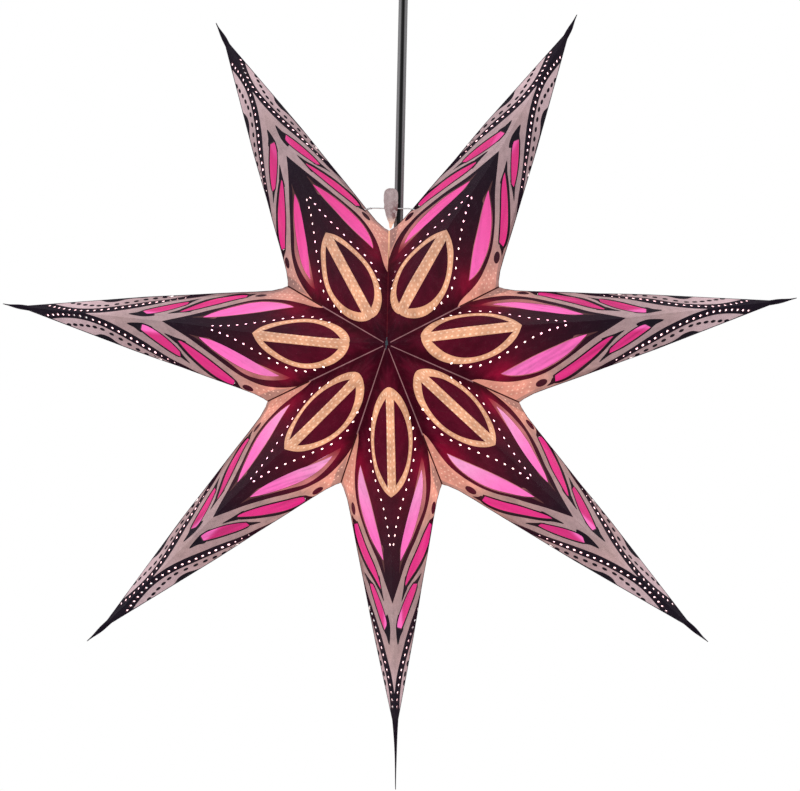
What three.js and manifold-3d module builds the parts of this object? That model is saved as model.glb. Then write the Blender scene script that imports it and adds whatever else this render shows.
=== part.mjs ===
// A seven-pointed folded-paper star lantern, hung by its lamp cord from a ceiling rose.
// Millimetres, +Z up, the star's front towards -Y. The origin is the middle of the plate that
// is screwed to the ceiling, and everything hangs below it.
import * as THREE from "three";
import { ConvexGeometry } from "three/addons/geometries/ConvexGeometry.js";
import { mergeVertices } from "three/addons/utils/BufferGeometryUtils.js";
import Module from "manifold-3d";

const wasm = await Module();
wasm.setup();

// The star's place below the ceiling
const STAR_CENTRE = new THREE.Vector3(-8.5, -4, -345);

// The folded arms
const ARM_COUNT = 7;
const LOWEST_ARM_DEG = -90;
const APEX_DEPTH = 105;
const PAPER = 0.6;
const LAP_PAPER = 0.3;
const SEAM_GAP = 0.3;
const SEAM_FLAP = 8;
const SIDE_LAP = 2.4;
const LAP_START = 12;
const LAP_LENGTH = 135;
const NEEDLE_ROOT = 6;
const NEEDLE_ROOT_RADIUS = 1.1;
const NEEDLE_END_RADIUS = 0.4;
const NEEDLE_SIDES = 8;
const INSIDE_SHARE = 0.3;

// How far a cutting body reaches past what it cuts, and how close two numbers are one
const PAST = 5;
const PAPER_PAST = 1;
const SAME_POINT = 1e-4;
const ON_PLANE = 1e-6;
const PARALLEL = 1e-9;

// One row for each arm, counter-clockwise from the lowest one. The star is hand folded, so each
// arm and each notch after it is turned a few degrees from its even place, and reaches its own way.
// The lowest arm is pinched earlier than the others, so its needle is longer.
const ARMS = [
  { turn: 0.5, reach: 315, needle: 40, notchTurn: -2.9, notchReach: 96 },
  { turn: -2.9, reach: 312, needle: 12, notchTurn: -2.9, notchReach: 99 },
  { turn: -3.3, reach: 308, needle: 12, notchTurn: -1.3, notchReach: 101 },
  { turn: -1.7, reach: 306, needle: 11, notchTurn: 1.3, notchReach: 105 },
  { turn: 1.0, reach: 300, needle: 11, notchTurn: 0, notchReach: 101 },
  { turn: 3.1, reach: 299, needle: 11, notchTurn: 2.1, notchReach: 97 },
  { turn: 3.5, reach: 306, needle: 12, notchTurn: 1.9, notchReach: 95 },
];

// The flat pattern of one panel: x runs along the ridge from the apex, y towards the notch. The
// ridge would be TIP_X long to the needle's end. Each panel stretches the pattern to its own shape.
const TIP_X = 323.5;
const NOTCH_X = 118.3;
const NOTCH_Y = 82.1;

// The cut-out petals on the panels before and after an arm's ridge. Each side of a petal is a
// cubic curve given by its four points.
const CURVE_STEPS = 6;
const PETALS = {
  before: [
    [
      [[97.5, 48.5], [112, 56], [138, 58], [159, 14]],
      [[159, 14], [143, 17], [122, 34], [97.5, 48.5]],
    ],
    [
      [[143, 61.6], [155.5, 61.5], [171, 40], [181, 19]],
      [[178, 19.5], [168, 24.5], [155, 44.5], [141.5, 56]],
    ],
    [
      [[181, 37.5], [190, 34], [202, 23], [209.5, 13.5]],
      [[205, 10], [199, 8], [188, 22], [180.5, 33]],
    ],
  ],
  after: [
    [
      [[100, 49], [112, 53], [136, 51], [159, 13.8]],
      [[159, 13.8], [141, 13], [123, 31], [100, 49]],
    ],
    [
      [[143.5, 65.6], [156, 64], [171.5, 41.5], [178.8, 21]],
      [[176.5, 20.5], [167, 25], [153.5, 44], [141, 60.5]],
    ],
    [
      [[181, 39.5], [190, 36], [201, 22], [208, 12]],
      [[205.5, 6.2], [198, 5], [187, 19], [180, 34]],
    ],
  ],
};

// The tissue glued behind a panel's three petals, which keeps clear of the side fold
const TISSUE = 0.25;
const TISSUE_GAP = 0.3;
const TISSUE_FROM_FOLD = 3.2;
const TISSUE_OUTLINE = [
  [91, 45], [104, 38], [118, 28], [136, 12], [158, 9.5], [180, 14], [196, 3.2], [208.5, 3.2],
  [213.5, 13], [184, 46.5], [146, 68], [138.5, 68], [134, 60.5], [112, 58.5], [93, 55],
];

// The cord, straight from the rose's grip through the notch above the star to the lamp holder
const CORD_RADIUS = 3.5;
const CORD_SIDES = 10;
const CORD_STEPS = 15;
const CORD_LEAN = 0.0213;
const CORD_TOP = -44.3;
const CORD_FOOT = -289;
const CORD_SLOT_RADIUS = 4;
const FACE_GAP = 0.3;

// The ceiling rose
const ROSE_RADIUS = 45;
const ROSE_WALL = 1.8;
const ROSE_DEPTH = 34;
const ROSE_HOLE_RADIUS = 6;
const PLATE_RADIUS = 36;
const PLATE_THICKNESS = 2;
const EAR_WIDTH = 12;
const EAR_DROP = 14;
const EAR_GAP = 1;
const SCREW_HEIGHT = -9;
const SCREW_RADIUS = 2;
const SCREW_CLEARANCE = 0.3;
const SCREW_HEAD_RADIUS = 4;
const SCREW_HEAD_DEPTH = 2.4;
const SCREW_LENGTH = 12;
const SCREW_SIDES = 16;
const HEAD_SEGMENTS = 20;
const CUP_SEGMENTS = 32;
const PLATE_SEGMENTS = 40;
const GRIP_SEGMENTS = 24;
const NUT_SIDES = 6;

// The lamp, in heights from the star's centre
const LAMP_SEGMENTS = 20;
const BULB_RADIUS = 22.5;
const BULB_MIDDLE = -38;
const GLOBE_DEG = 146;
const GLOBE_STEPS = 11;

// The wire across the open notch, the paper tongue before it and the knot at the front apex
const WIRE_RADIUS = 0.5;
const WIRE_HOLE_RADIUS = 0.95;
const WIRE_SIDES = 8;
const WIRE_STEPS = 24;
const TONGUE_FRONT = -1.9;
const TONGUE_THICKNESS = 0.5;
const KNOT_BEFORE_APEX = 2.1;
const KNOT_SEGMENTS = 10;

const finish = {
  print: { color: 0x4a1030, roughness: 0.62, metalness: 0 },
  tissue: { color: 0xee3a97, roughness: 0.7, metalness: 0 },
  plainPaper: { color: 0xb9a3a8, roughness: 0.8, metalness: 0 },
  cordSkin: { color: 0x101012, roughness: 0.22, metalness: 0 },
  blackPlastic: { color: 0x17171a, roughness: 0.4, metalness: 0 },
  roseWhite: { color: 0xe9e8e4, roughness: 0.45, metalness: 0 },
  steel: { color: 0x9a9da1, roughness: 0.35, metalness: 0.9 },
  brass: { color: 0xb08d4a, roughness: 0.3, metalness: 0.95 },
  thread: { color: 0x4d4a78, roughness: 0.8, metalness: 0 },
  bulbGlass: { color: 0xfff4df, roughness: 0.15, metalness: 0 },
};

const FRONT_APEX = new THREE.Vector3(0, -APEX_DEPTH, 0);
const BACK_APEX = new THREE.Vector3(0, APEX_DEPTH, 0);
const STAR_AXIS = new THREE.Vector3(0, 1, 0);

// Geometry to a manifold-3d solid and back
function solidFrom(geometry) {
  const bare = geometry.index ? geometry.toNonIndexed() : geometry.clone();
  bare.deleteAttribute("normal");
  bare.deleteAttribute("uv");
  const merged = mergeVertices(bare, SAME_POINT);
  const vertProperties = merged.attributes.position.array;
  const triVerts = new Uint32Array(merged.index.array);
  return new wasm.Manifold(new wasm.Mesh({ numProp: 3, vertProperties, triVerts }));
}

function geometryFrom(solid) {
  const mesh = solid.getMesh();
  const geometry = new THREE.BufferGeometry();
  geometry.setAttribute("position", new THREE.BufferAttribute(mesh.vertProperties, 3));
  geometry.setIndex(new THREE.BufferAttribute(mesh.triVerts, 1));
  return geometry;
}

function named(name, geometry, look) {
  const mesh = new THREE.Mesh(geometry, new THREE.MeshStandardMaterial(look));
  mesh.name = name;
  return mesh;
}

function lathe(points, segments) {
  return new THREE.LatheGeometry(
    points.map(([radius, height]) => new THREE.Vector2(radius, height)),
    segments,
  ).rotateX(Math.PI / 2);
}

// Where three planes meet, or null if they don't meet in one point
function meeting(a, b, c) {
  const bc = new THREE.Vector3().crossVectors(b.normal, c.normal);
  const ca = new THREE.Vector3().crossVectors(c.normal, a.normal);
  const ab = new THREE.Vector3().crossVectors(a.normal, b.normal);
  const across = a.normal.dot(bc);
  if (Math.abs(across) < PARALLEL) return null;
  bc.multiplyScalar(-a.constant);
  ca.multiplyScalar(-b.constant);
  ab.multiplyScalar(-c.constant);
  return bc.add(ca).add(ab).divideScalar(across);
}

// The solid that lies behind every one of the planes, whose normals point out of it
function solidBehind(planes) {
  const corners = [];
  for (let i = 0; i < planes.length; i++)
    for (let j = i + 1; j < planes.length; j++)
      for (let k = j + 1; k < planes.length; k++) {
        const corner = meeting(planes[i], planes[j], planes[k]);
        if (!corner) continue;
        if (planes.some((plane) => plane.distanceToPoint(corner) > ON_PLANE)) continue;
        if (corners.some((other) => other.distanceTo(corner) < SAME_POINT)) continue;
        corners.push(corner);
      }
  return solidFrom(new ConvexGeometry(corners));
}

// The plane through three points, with its normal pointing away from the inner point
function planeAwayFrom(inner, a, b, c) {
  const plane = new THREE.Plane().setFromCoplanarPoints(a, b, c);
  return plane.distanceToPoint(inner) > 0 ? plane.negate() : plane;
}

function movedIn(plane, distance) {
  return new THREE.Plane(plane.normal.clone(), plane.constant + distance);
}

function inStarPlane(degrees, reach) {
  const angle = THREE.MathUtils.degToRad(degrees);
  return new THREE.Vector3(reach * Math.cos(angle), 0, reach * Math.sin(angle));
}

function evenTurn(index) {
  return LOWEST_ARM_DEG + (360 / ARM_COUNT) * index;
}

function notchAfter(index) {
  const arm = ARMS[(index + ARM_COUNT) % ARM_COUNT];
  return inStarPlane(evenTurn(index + 0.5) + arm.notchTurn, arm.notchReach);
}

// A panel lies between an apex, the end of the folded arm and a notch. Its matrix carries the flat
// pattern onto it, with z out of the star.
function panelFrame(apex, arm, notch) {
  const ridge = (TIP_X * arm.end.length()) / arm.tip.length();
  const along = arm.end.clone().sub(apex).divideScalar(ridge);
  const across = notch.clone().sub(apex).addScaledVector(along, -NOTCH_X).divideScalar(NOTCH_Y);
  const outward = new THREE.Vector3().crossVectors(along, across).normalize();
  const mirrored = outward.dot(apex) < 0;
  if (mirrored) outward.negate();
  const matrix = new THREE.Matrix4().makeBasis(along, across, outward).setPosition(apex);
  return { matrix, mirrored, ridge };
}

function panelsOf(arm) {
  const panels = [];
  for (const [face, apex] of [["front", FRONT_APEX], ["back", BACK_APEX]])
    for (const [side, notch] of [["before", arm.notchBefore], ["after", arm.notchAfter]])
      panels.push({ face, side, ...panelFrame(apex, arm, notch) });
  return panels;
}

// A prism on a panel, between two depths below the paper's outer face
function onPanel(panel, shape, shallow, deep) {
  const geometry = new THREE.ExtrudeGeometry(shape, {
    depth: deep - shallow, bevelEnabled: false, steps: 1, curveSegments: CURVE_STEPS,
  });
  geometry.translate(0, 0, -deep);
  geometry.applyMatrix4(panel.matrix);
  if (!panel.mirrored) return geometry;
  const corners = geometry.attributes.position;
  for (let i = 0; i < corners.count; i += 3) swapVertices(corners, i + 1, i + 2);
  return geometry;
}

function swapVertices(attribute, i, j) {
  const held = new THREE.Vector3().fromBufferAttribute(attribute, i);
  const other = new THREE.Vector3().fromBufferAttribute(attribute, j);
  attribute.setXYZ(i, other.x, other.y, other.z);
  attribute.setXYZ(j, held.x, held.y, held.z);
}

function petalShape(sides) {
  const [[start, a, b, end], [foot, c, d, head]] = sides;
  const shape = new THREE.Shape();
  shape.moveTo(...start);
  shape.bezierCurveTo(...a, ...b, ...end);
  if (foot[0] !== end[0]) shape.lineTo(...foot);
  shape.bezierCurveTo(...c, ...d, ...head);
  return shape;
}

// The height of the side fold above a place on the ridge, in the flat pattern
function foldHeight(panel, x) {
  return (NOTCH_Y * (panel.ridge - x)) / (panel.ridge - NOTCH_X);
}

function tissueShape(panel) {
  return new THREE.Shape(TISSUE_OUTLINE.map(([x, y]) =>
    new THREE.Vector2(x, Math.min(y, foldHeight(panel, x) - TISSUE_FROM_FOLD))));
}

// The arm's sheet is glued to itself along the side fold before it, over a narrow lap
function lapShape(panel) {
  const side = new THREE.Vector2(panel.ridge - NOTCH_X, -NOTCH_Y).normalize();
  const inward = new THREE.Vector2(side.y, -side.x).multiplyScalar(SIDE_LAP);
  const top = new THREE.Vector2(NOTCH_X, NOTCH_Y).addScaledVector(side, LAP_START);
  const foot = top.clone().addScaledVector(side, LAP_LENGTH);
  return new THREE.Shape([top, foot, foot.clone().add(inward), top.clone().add(inward)]);
}

function armGeometry(arm) {
  const middle = arm.end.clone().multiplyScalar(INSIDE_SHARE);
  const sheets = [FRONT_APEX, BACK_APEX].flatMap((apex) =>
    [arm.notchBefore, arm.notchAfter].map((notch) => planeAwayFrom(middle, apex, arm.end, notch)),
  );
  const seams = [arm.notchBefore, arm.notchAfter].map((notch) =>
    planeAwayFrom(middle, FRONT_APEX, BACK_APEX, notch),
  );
  const inside = (depth) => sheets.map((plane) => movedIn(plane, depth));
  const seamsIn = (depth) => seams.map((plane) => movedIn(plane, depth));
  const outer = solidBehind([...sheets, ...seamsIn(SEAM_GAP / 2)]);
  const hollow = solidBehind([...inside(PAPER), ...seamsIn(-PAST)]);
  const pastFlaps = solidBehind([...inside(SEAM_FLAP), ...seamsIn(-PAST)]);
  const pastSeams = solidBehind([...sheets, ...seamsIn(SEAM_GAP / 2 + PAPER)]);
  const flaps = outer.subtract(pastSeams).subtract(pastFlaps);
  let sheet = outer.subtract(hollow).add(flaps).add(solidFrom(needleGeometry(arm)));
  for (const panel of panelsOf(arm)) {
    if (panel.face === "front" && panel.side === "before")
      sheet = sheet.add(solidFrom(onPanel(panel, lapShape(panel), PAPER / 2, PAPER + LAP_PAPER)));
    for (const sides of PETALS[panel.side])
      sheet = sheet.subtract(
        solidFrom(onPanel(panel, petalShape(sides), -PAPER_PAST, PAPER + PAPER_PAST)),
      );
  }
  return sheet;
}

// The tip is pinched and twisted into a thin needle
function needleGeometry(arm) {
  const along = arm.tip.clone().normalize();
  const root = arm.end.clone().addScaledVector(along, -NEEDLE_ROOT);
  const length = arm.tip.distanceTo(root);
  const needle = new THREE.CylinderGeometry(
    NEEDLE_END_RADIUS, NEEDLE_ROOT_RADIUS, length, NEEDLE_SIDES,
  );
  needle.translate(0, length / 2, 0);
  needle.applyQuaternion(new THREE.Quaternion().setFromUnitVectors(STAR_AXIS, along));
  return needle.translate(root.x, root.y, root.z);
}

function cordPoint(height) {
  return new THREE.Vector3((height - CORD_TOP) * CORD_LEAN, 0, height);
}

function roundTube(path, radius, sides, steps) {
  const section = new THREE.Shape();
  for (let i = 0; i < sides; i++) {
    const angle = (2 * Math.PI * i) / sides;
    const point = [radius * Math.cos(angle), radius * Math.sin(angle)];
    if (i === 0) section.moveTo(...point);
    else section.lineTo(...point);
  }
  return new THREE.ExtrudeGeometry(section, { steps, extrudePath: path, bevelEnabled: false });
}

function cordTube(radius, from, to, steps) {
  return roundTube(new THREE.LineCurve3(cordPoint(from), cordPoint(to)), radius, CORD_SIDES, steps);
}

// Cuts a straight slot for the cord through the back of the two arms beside the open notch
function withCordSlot(sheet) {
  const slot = cordTube(CORD_SLOT_RADIUS, CORD_TOP, CORD_FOOT, 1);
  slot.translate(-STAR_CENTRE.x, -STAR_CENTRE.y, -STAR_CENTRE.z);
  return sheet.subtract(solidFrom(slot));
}

// The wire runs across the notch from one side fold to the other, before the cord
function wirePath() {
  return new THREE.CatmullRomCurve3([
    new THREE.Vector3(-21, -0.6, 121.2),
    new THREE.Vector3(-15.5, -0.6, 122.4),
    new THREE.Vector3(-6, -0.5, 122.2),
    new THREE.Vector3(4.8, -0.5, 121.9),
    new THREE.Vector3(13, -0.6, 121.8),
    new THREE.Vector3(18.5, -0.6, 120.6),
    new THREE.Vector3(23.5, -0.6, 121.8),
  ]);
}

function wireTube(radius) {
  return roundTube(wirePath(), radius, WIRE_SIDES, WIRE_STEPS);
}

function tongueGeometry() {
  const shape = new THREE.Shape();
  shape.moveTo(-2.2, 106);
  shape.bezierCurveTo(-5.4, 113, -6.4, 119, -6.4, 126);
  shape.lineTo(-6.4, 132);
  shape.bezierCurveTo(-6.4, 138.6, 4.4, 138.6, 4.4, 132);
  shape.lineTo(4.4, 117);
  shape.bezierCurveTo(4.2, 112, 0.4, 112, -0.6, 106);
  const tongue = new THREE.ExtrudeGeometry(shape, {
    depth: TONGUE_THICKNESS, bevelEnabled: false, curveSegments: CURVE_STEPS,
  });
  return tongue.rotateX(Math.PI / 2).translate(0, TONGUE_FRONT + TONGUE_THICKNESS, 0);
}

function knotGeometry() {
  const profile = [[0, -1.6], [1.3, -1.4], [2, -0.5], [2, 0.5], [1.3, 1.4], [0, 1.6]];
  const knot = lathe(profile, KNOT_SEGMENTS);
  return knot.rotateX(Math.PI / 2).translate(0, -APEX_DEPTH - KNOT_BEFORE_APEX, 0);
}

// The lamp holder, its parts and the bulb, standing on the line of the cord
const lampParts = [
  ["holder_grip", finish.blackPlastic, [[0, 38], [4.6, 38], [4.6, 43.7], [6.4, 43.7], [6.4, 46],
    [4.4, 55.6], [0, 55.6]]],
  ["holder_cap", finish.blackPlastic, [[4.9, 43.4], [4.9, 41.4], [10.8, 40.2], [12.4, 38],
    [12.4, 30], [14.2, 30], [14.2, 38.6], [12, 42.2]]],
  ["holder_body", finish.blackPlastic, [[0, 22], [7.8, 22], [7.8, -6], [12.4, -6], [13.2, -4.6],
    [13.2, 16], [14.2, 17], [14.2, 29.7], [0, 29.7]]],
  ["centre_contact", finish.brass, [[0, 20.7], [2.6, 20.7], [3.2, 21.7], [0, 21.7]]],
];

function bulbProfile() {
  const profile = [[0, 20.4], [2.6, 20.4], [3.2, 18.6], [6.9, 17.4], [6.9, -5], [8.6, -9]];
  for (let i = GLOBE_STEPS; i > 0; i--) {
    const angle = THREE.MathUtils.degToRad((i / GLOBE_STEPS) * GLOBE_DEG - 90);
    profile.push([BULB_RADIUS * Math.cos(angle), BULB_MIDDLE + BULB_RADIUS * Math.sin(angle)]);
  }
  profile.push([0, BULB_MIDDLE - BULB_RADIUS]);
  return profile;
}

// A profile that starts off the axis is closed on itself, and faces out whichever way it runs
function turnedSolid(points, segments) {
  const profile = points[0][0] > 0 ? [...points, points[0]] : points;
  const solid = solidFrom(lathe(profile, segments));
  return solid.volume() < 0 ? solidFrom(lathe([...profile].reverse(), segments)) : solid;
}

function screwAlongX(radius, from, to) {
  const screw = new THREE.CylinderGeometry(radius, radius, to - from, SCREW_SIDES);
  return screw.rotateZ(Math.PI / 2).translate((from + to) / 2, 0, SCREW_HEIGHT);
}

function roseCup() {
  const inner = ROSE_RADIUS - ROSE_WALL;
  const floor = ROSE_WALL - ROSE_DEPTH;
  const cup = turnedSolid([
    [ROSE_RADIUS, 0], [ROSE_RADIUS, -22], [ROSE_RADIUS - 2.5, -27.5], [ROSE_RADIUS - 8, -31.5],
    [ROSE_RADIUS - 15, 1 - ROSE_DEPTH], [ROSE_HOLE_RADIUS, -ROSE_DEPTH], [ROSE_HOLE_RADIUS, floor],
    [inner - 14, 1 + floor], [inner - 7, -29.8], [inner - 2.2, -26.4], [inner, -21.5], [inner, 0],
  ], CUP_SEGMENTS);
  const hole = SCREW_RADIUS + SCREW_CLEARANCE;
  return cup.subtract(solidFrom(screwAlongX(hole, -ROSE_RADIUS - PAST, ROSE_RADIUS + PAST)));
}

// The plate on the ceiling, with two ears bent down that take the cup's screws
function rosePlate() {
  const disc = new THREE.CylinderGeometry(
    PLATE_RADIUS, PLATE_RADIUS, PLATE_THICKNESS, PLATE_SEGMENTS,
  );
  disc.rotateX(Math.PI / 2).translate(0, 0, -PLATE_THICKNESS / 2);
  const reach = ROSE_RADIUS - ROSE_WALL - EAR_GAP;
  const bar = new THREE.BoxGeometry(2 * reach, EAR_WIDTH, PLATE_THICKNESS);
  bar.translate(0, 0, -PLATE_THICKNESS / 2);
  let plate = solidFrom(disc).add(solidFrom(bar));
  for (const side of [-1, 1]) {
    const ear = new THREE.BoxGeometry(PLATE_THICKNESS, EAR_WIDTH, EAR_DROP);
    ear.translate(side * (reach - PLATE_THICKNESS / 2), 0, -EAR_DROP / 2);
    plate = plate.add(solidFrom(ear));
  }
  const hole = SCREW_RADIUS + SCREW_CLEARANCE;
  for (const side of [-1, 1]) {
    const [from, to] = [side * (reach - PAST), side * (reach + PAST)].sort((a, b) => a - b);
    plate = plate.subtract(solidFrom(screwAlongX(hole, from, to)));
  }
  return plate;
}

function roseScrew(side) {
  const head = ROSE_RADIUS + FACE_GAP;
  const shank = screwAlongX(SCREW_RADIUS, head - SCREW_LENGTH, head + 1);
  const dome = lathe([[0, 0], [SCREW_HEAD_RADIUS, 0], [SCREW_HEAD_RADIUS - 0.4, 1.3],
    [SCREW_HEAD_RADIUS - 1.8, SCREW_HEAD_DEPTH], [0, SCREW_HEAD_DEPTH]], HEAD_SEGMENTS);
  dome.rotateY(Math.PI / 2).translate(head, 0, SCREW_HEIGHT);
  const screw = solidFrom(shank).add(solidFrom(dome));
  return side > 0 ? screw : screw.rotate([0, 0, 180]);
}

function buildArms() {
  const star = new THREE.Group();
  ARMS.forEach((row, index) => {
    const turn = evenTurn(index) + row.turn;
    const arm = {
      tip: inStarPlane(turn, row.reach),
      end: inStarPlane(turn, row.reach - row.needle),
      notchBefore: notchAfter(index - 1),
      notchAfter: notchAfter(index),
    };
    const name = `arm_${index + 1}`;
    let sheet = withCordSlot(armGeometry(arm));
    sheet = sheet.subtract(solidFrom(wireTube(WIRE_HOLE_RADIUS)));
    star.add(named(name, geometryFrom(sheet), finish.print));
    for (const panel of panelsOf(arm)) {
      const top = PAPER + TISSUE_GAP;
      const patch = onPanel(panel, tissueShape(panel), top, top + TISSUE);
      star.add(named(`${name}_tissue_${panel.face}_${panel.side}`, patch, finish.tissue));
    }
  });
  return star;
}

function buildNotchTie() {
  const tie = new THREE.Group();
  tie.add(named("closing_wire", wireTube(WIRE_RADIUS), finish.steel));
  tie.add(named("closing_tongue", tongueGeometry(), finish.plainPaper));
  tie.add(named("front_knot", knotGeometry(), finish.thread));
  return tie;
}

function buildLamp() {
  const lamp = new THREE.Group();
  const foot = cordPoint(CORD_FOOT);
  lamp.position.set(foot.x, foot.y, STAR_CENTRE.z);
  for (const [name, look, profile] of lampParts)
    lamp.add(named(name, geometryFrom(turnedSolid(profile, LAMP_SEGMENTS)), look));
  lamp.add(named("bulb", geometryFrom(turnedSolid(bulbProfile(), LAMP_SEGMENTS)), finish.bulbGlass));
  return lamp;
}

function buildRose() {
  const rose = new THREE.Group();
  const grip = [[0, -28], [5.7, -28], [5.7, -34.3], [9, -34.3], [9, -37], [7.6, -39.5],
    [4.8, -44], [0, -44]];
  const nut = [[7, -27.5], [10.5, -27.5], [10.5, -31.9], [7, -31.9]];
  rose.add(named("rose_plate", geometryFrom(rosePlate()), finish.steel));
  rose.add(named("rose_cup", geometryFrom(roseCup()), finish.roseWhite));
  rose.add(named("rose_grip", geometryFrom(turnedSolid(grip, GRIP_SEGMENTS)), finish.roseWhite));
  rose.add(named("rose_nut", geometryFrom(turnedSolid(nut, NUT_SIDES)), finish.roseWhite));
  rose.add(named("rose_screw_left", geometryFrom(roseScrew(-1)), finish.steel));
  rose.add(named("rose_screw_right", geometryFrom(roseScrew(1)), finish.steel));
  rose.add(named("cord", cordTube(CORD_RADIUS, CORD_TOP, CORD_FOOT, CORD_STEPS), finish.cordSkin));
  return rose;
}

const group = new THREE.Group();
const star = buildArms();
star.add(buildNotchTie());
star.position.copy(STAR_CENTRE);
group.add(star, buildLamp(), buildRose());

export default group;
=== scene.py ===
"""The looks of a seven-pointed folded-paper star lantern, lit from inside, on its lamp cord.

Metres, the part's own frame: +Z up, the star's front towards -Y, the origin on the ceiling.
Flat patterns are in millimetres: x along an arm's ridge from the apex, y towards the notch.
"""
import math

import bmesh
import bpy
import numpy as np
from mathutils import Matrix, Vector, geometry, noise


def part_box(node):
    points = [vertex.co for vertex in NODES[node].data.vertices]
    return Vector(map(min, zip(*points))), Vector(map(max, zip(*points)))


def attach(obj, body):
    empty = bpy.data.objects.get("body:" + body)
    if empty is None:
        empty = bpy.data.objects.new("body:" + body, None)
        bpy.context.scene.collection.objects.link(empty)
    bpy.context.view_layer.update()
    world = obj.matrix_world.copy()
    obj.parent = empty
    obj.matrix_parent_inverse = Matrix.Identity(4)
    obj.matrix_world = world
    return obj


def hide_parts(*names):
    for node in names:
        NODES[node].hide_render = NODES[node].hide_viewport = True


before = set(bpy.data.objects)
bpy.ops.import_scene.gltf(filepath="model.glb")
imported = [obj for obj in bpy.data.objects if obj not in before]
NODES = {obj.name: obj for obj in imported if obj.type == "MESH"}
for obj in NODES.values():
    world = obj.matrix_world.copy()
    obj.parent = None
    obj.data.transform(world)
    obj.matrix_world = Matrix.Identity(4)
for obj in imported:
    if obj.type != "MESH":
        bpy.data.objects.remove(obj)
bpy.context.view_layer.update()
MM = 0.001

# ---------------------------------------------------------------- camera
AIM = Vector((-2.7, -4.0, -366.5)) * MM
SIGHT = Vector((0.03534, -0.98733, -0.15471))
DISTANCE = 2.6
LENS = 156.0
SENSOR = 36.0


# ---------------------------------------------------------------- meshes
# The steepest angle in degrees between two faces that still shade as one surface
TURNED_SMOOTH, SWEPT_SMOOTH, TONGUE_SMOOTH, TISSUE_SMOOTH = 34, 50, 40, 60


def link(name, data):
    made = bpy.data.objects.new(name, data)
    bpy.context.scene.collection.objects.link(made)
    return made


def add_camera():
    data = bpy.data.cameras.new("camera")
    data.lens = LENS
    data.sensor_width = SENSOR
    camera = link("camera", data)
    camera.location = AIM + SIGHT * DISTANCE
    camera.rotation_euler = (AIM - camera.location).to_track_quat("-Z", "Y").to_euler()
    bpy.context.scene.camera = camera


def piece(name, mesh, materials, replaced=()):
    """A finished piece on the root body, with its materials and the CAD nodes it stands for."""
    made = link(name, mesh)
    for material in materials:
        made.data.materials.append(material)
    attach(made, "root")
    if replaced:
        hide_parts(*replaced)
    return made


def mesh_from(name, verts, faces, smooth_angle=None, face_out=False):
    """A mesh in metres, smooth up to that angle between its faces, its faces turned outwards."""
    mesh = bpy.data.meshes.new(name)
    mesh.from_pydata([tuple(v) for v in verts], [], faces)
    mesh.update()
    if face_out:
        work = bmesh.new()
        work.from_mesh(mesh)
        bmesh.ops.recalc_face_normals(work, faces=work.faces)
        if work.calc_volume(signed=True) < 0:
            bmesh.ops.reverse_faces(work, faces=work.faces)
        work.to_mesh(mesh)
        work.free()
    if smooth_angle is not None:
        mesh.shade_smooth()
        mesh.set_sharp_from_angle(angle=math.radians(smooth_angle))
    return mesh


def turned(name, profile, place, segments=72):
    """A closed body of revolution about Z at a place, from (radius, height) points in mm."""
    rings, verts = [], []
    for radius, height in profile:
        if radius < 1e-6:
            rings.append([len(verts)])
            verts.append((place[0], place[1], place[2] + height * MM))
            continue
        rings.append(list(range(len(verts), len(verts) + segments)))
        for i in range(segments):
            turn = 2 * math.pi * i / segments
            verts.append((place[0] + radius * MM * math.cos(turn),
                          place[1] + radius * MM * math.sin(turn), place[2] + height * MM))
    closed = profile[0][0] > 1e-6
    faces = []
    for low, high in zip(rings, rings[1:] + (rings[:1] if closed else [])):
        for i in range(segments):
            j = (i + 1) % segments
            if len(low) == 1 and len(high) == 1:
                continue
            if len(low) == 1:
                faces.append((low[0], high[i], high[j]))
            elif len(high) == 1:
                faces.append((low[j], low[i], high[0]))
            else:
                faces.append((low[i], high[i], high[j], low[j]))
    return mesh_from(name, verts, faces, TURNED_SMOOTH, face_out=True)


def swept(name, path, radii, sides):
    """A round tube along a path of points in metres, with a radius for each point."""
    verts, faces = [], []
    normal = None
    for i, point in enumerate(path):
        ahead = path[min(i + 1, len(path) - 1)] - path[max(i - 1, 0)]
        ahead.normalize()
        if normal is None:
            normal = ahead.orthogonal().normalized()
        normal = (normal - ahead * normal.dot(ahead)).normalized()
        other = ahead.cross(normal)
        for k in range(sides):
            turn = 2 * math.pi * k / sides
            verts.append(point + (normal * math.cos(turn) + other * math.sin(turn)) * radii[i])
    for i in range(len(path) - 1):
        for k in range(sides):
            a, b = i * sides + k, i * sides + (k + 1) % sides
            faces.append((a, b, b + sides, a + sides))
    faces.append(tuple(reversed(range(sides))))
    faces.append(tuple(range((len(path) - 1) * sides, len(path) * sides)))
    return mesh_from(name, verts, faces, SWEPT_SMOOTH, face_out=True)


# ---------------------------------------------------------------- shader nodes
def feed(made, inputs):
    """A node's inputs, each linked to a socket or set to a value."""
    for key, value in inputs.items():
        socket = made.inputs[key]
        if isinstance(value, bpy.types.NodeSocket):
            made.id_data.links.new(value, socket)
        elif socket.type == "RGBA" and len(value) == 3:
            socket.default_value = (*value, 1)
        else:
            socket.default_value = value
    return made


def node(tree, kind, inputs=None, **settings):
    made = tree.nodes.new(kind)
    for key, value in settings.items():
        setattr(made, key, value)
    return feed(made, inputs or {})


def maths(tree, operation, a, b):
    return node(tree, "ShaderNodeMath", {0: a, 1: b}, operation=operation).outputs[0]


def ranged(tree, value, low, high, to_low, to_high, smooth=False):
    return node(tree, "ShaderNodeMapRange",
                {"Value": value, "From Min": low, "From Max": high,
                 "To Min": to_low, "To Max": to_high},
                interpolation_type="SMOOTHSTEP" if smooth else "LINEAR").outputs[0]


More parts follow.
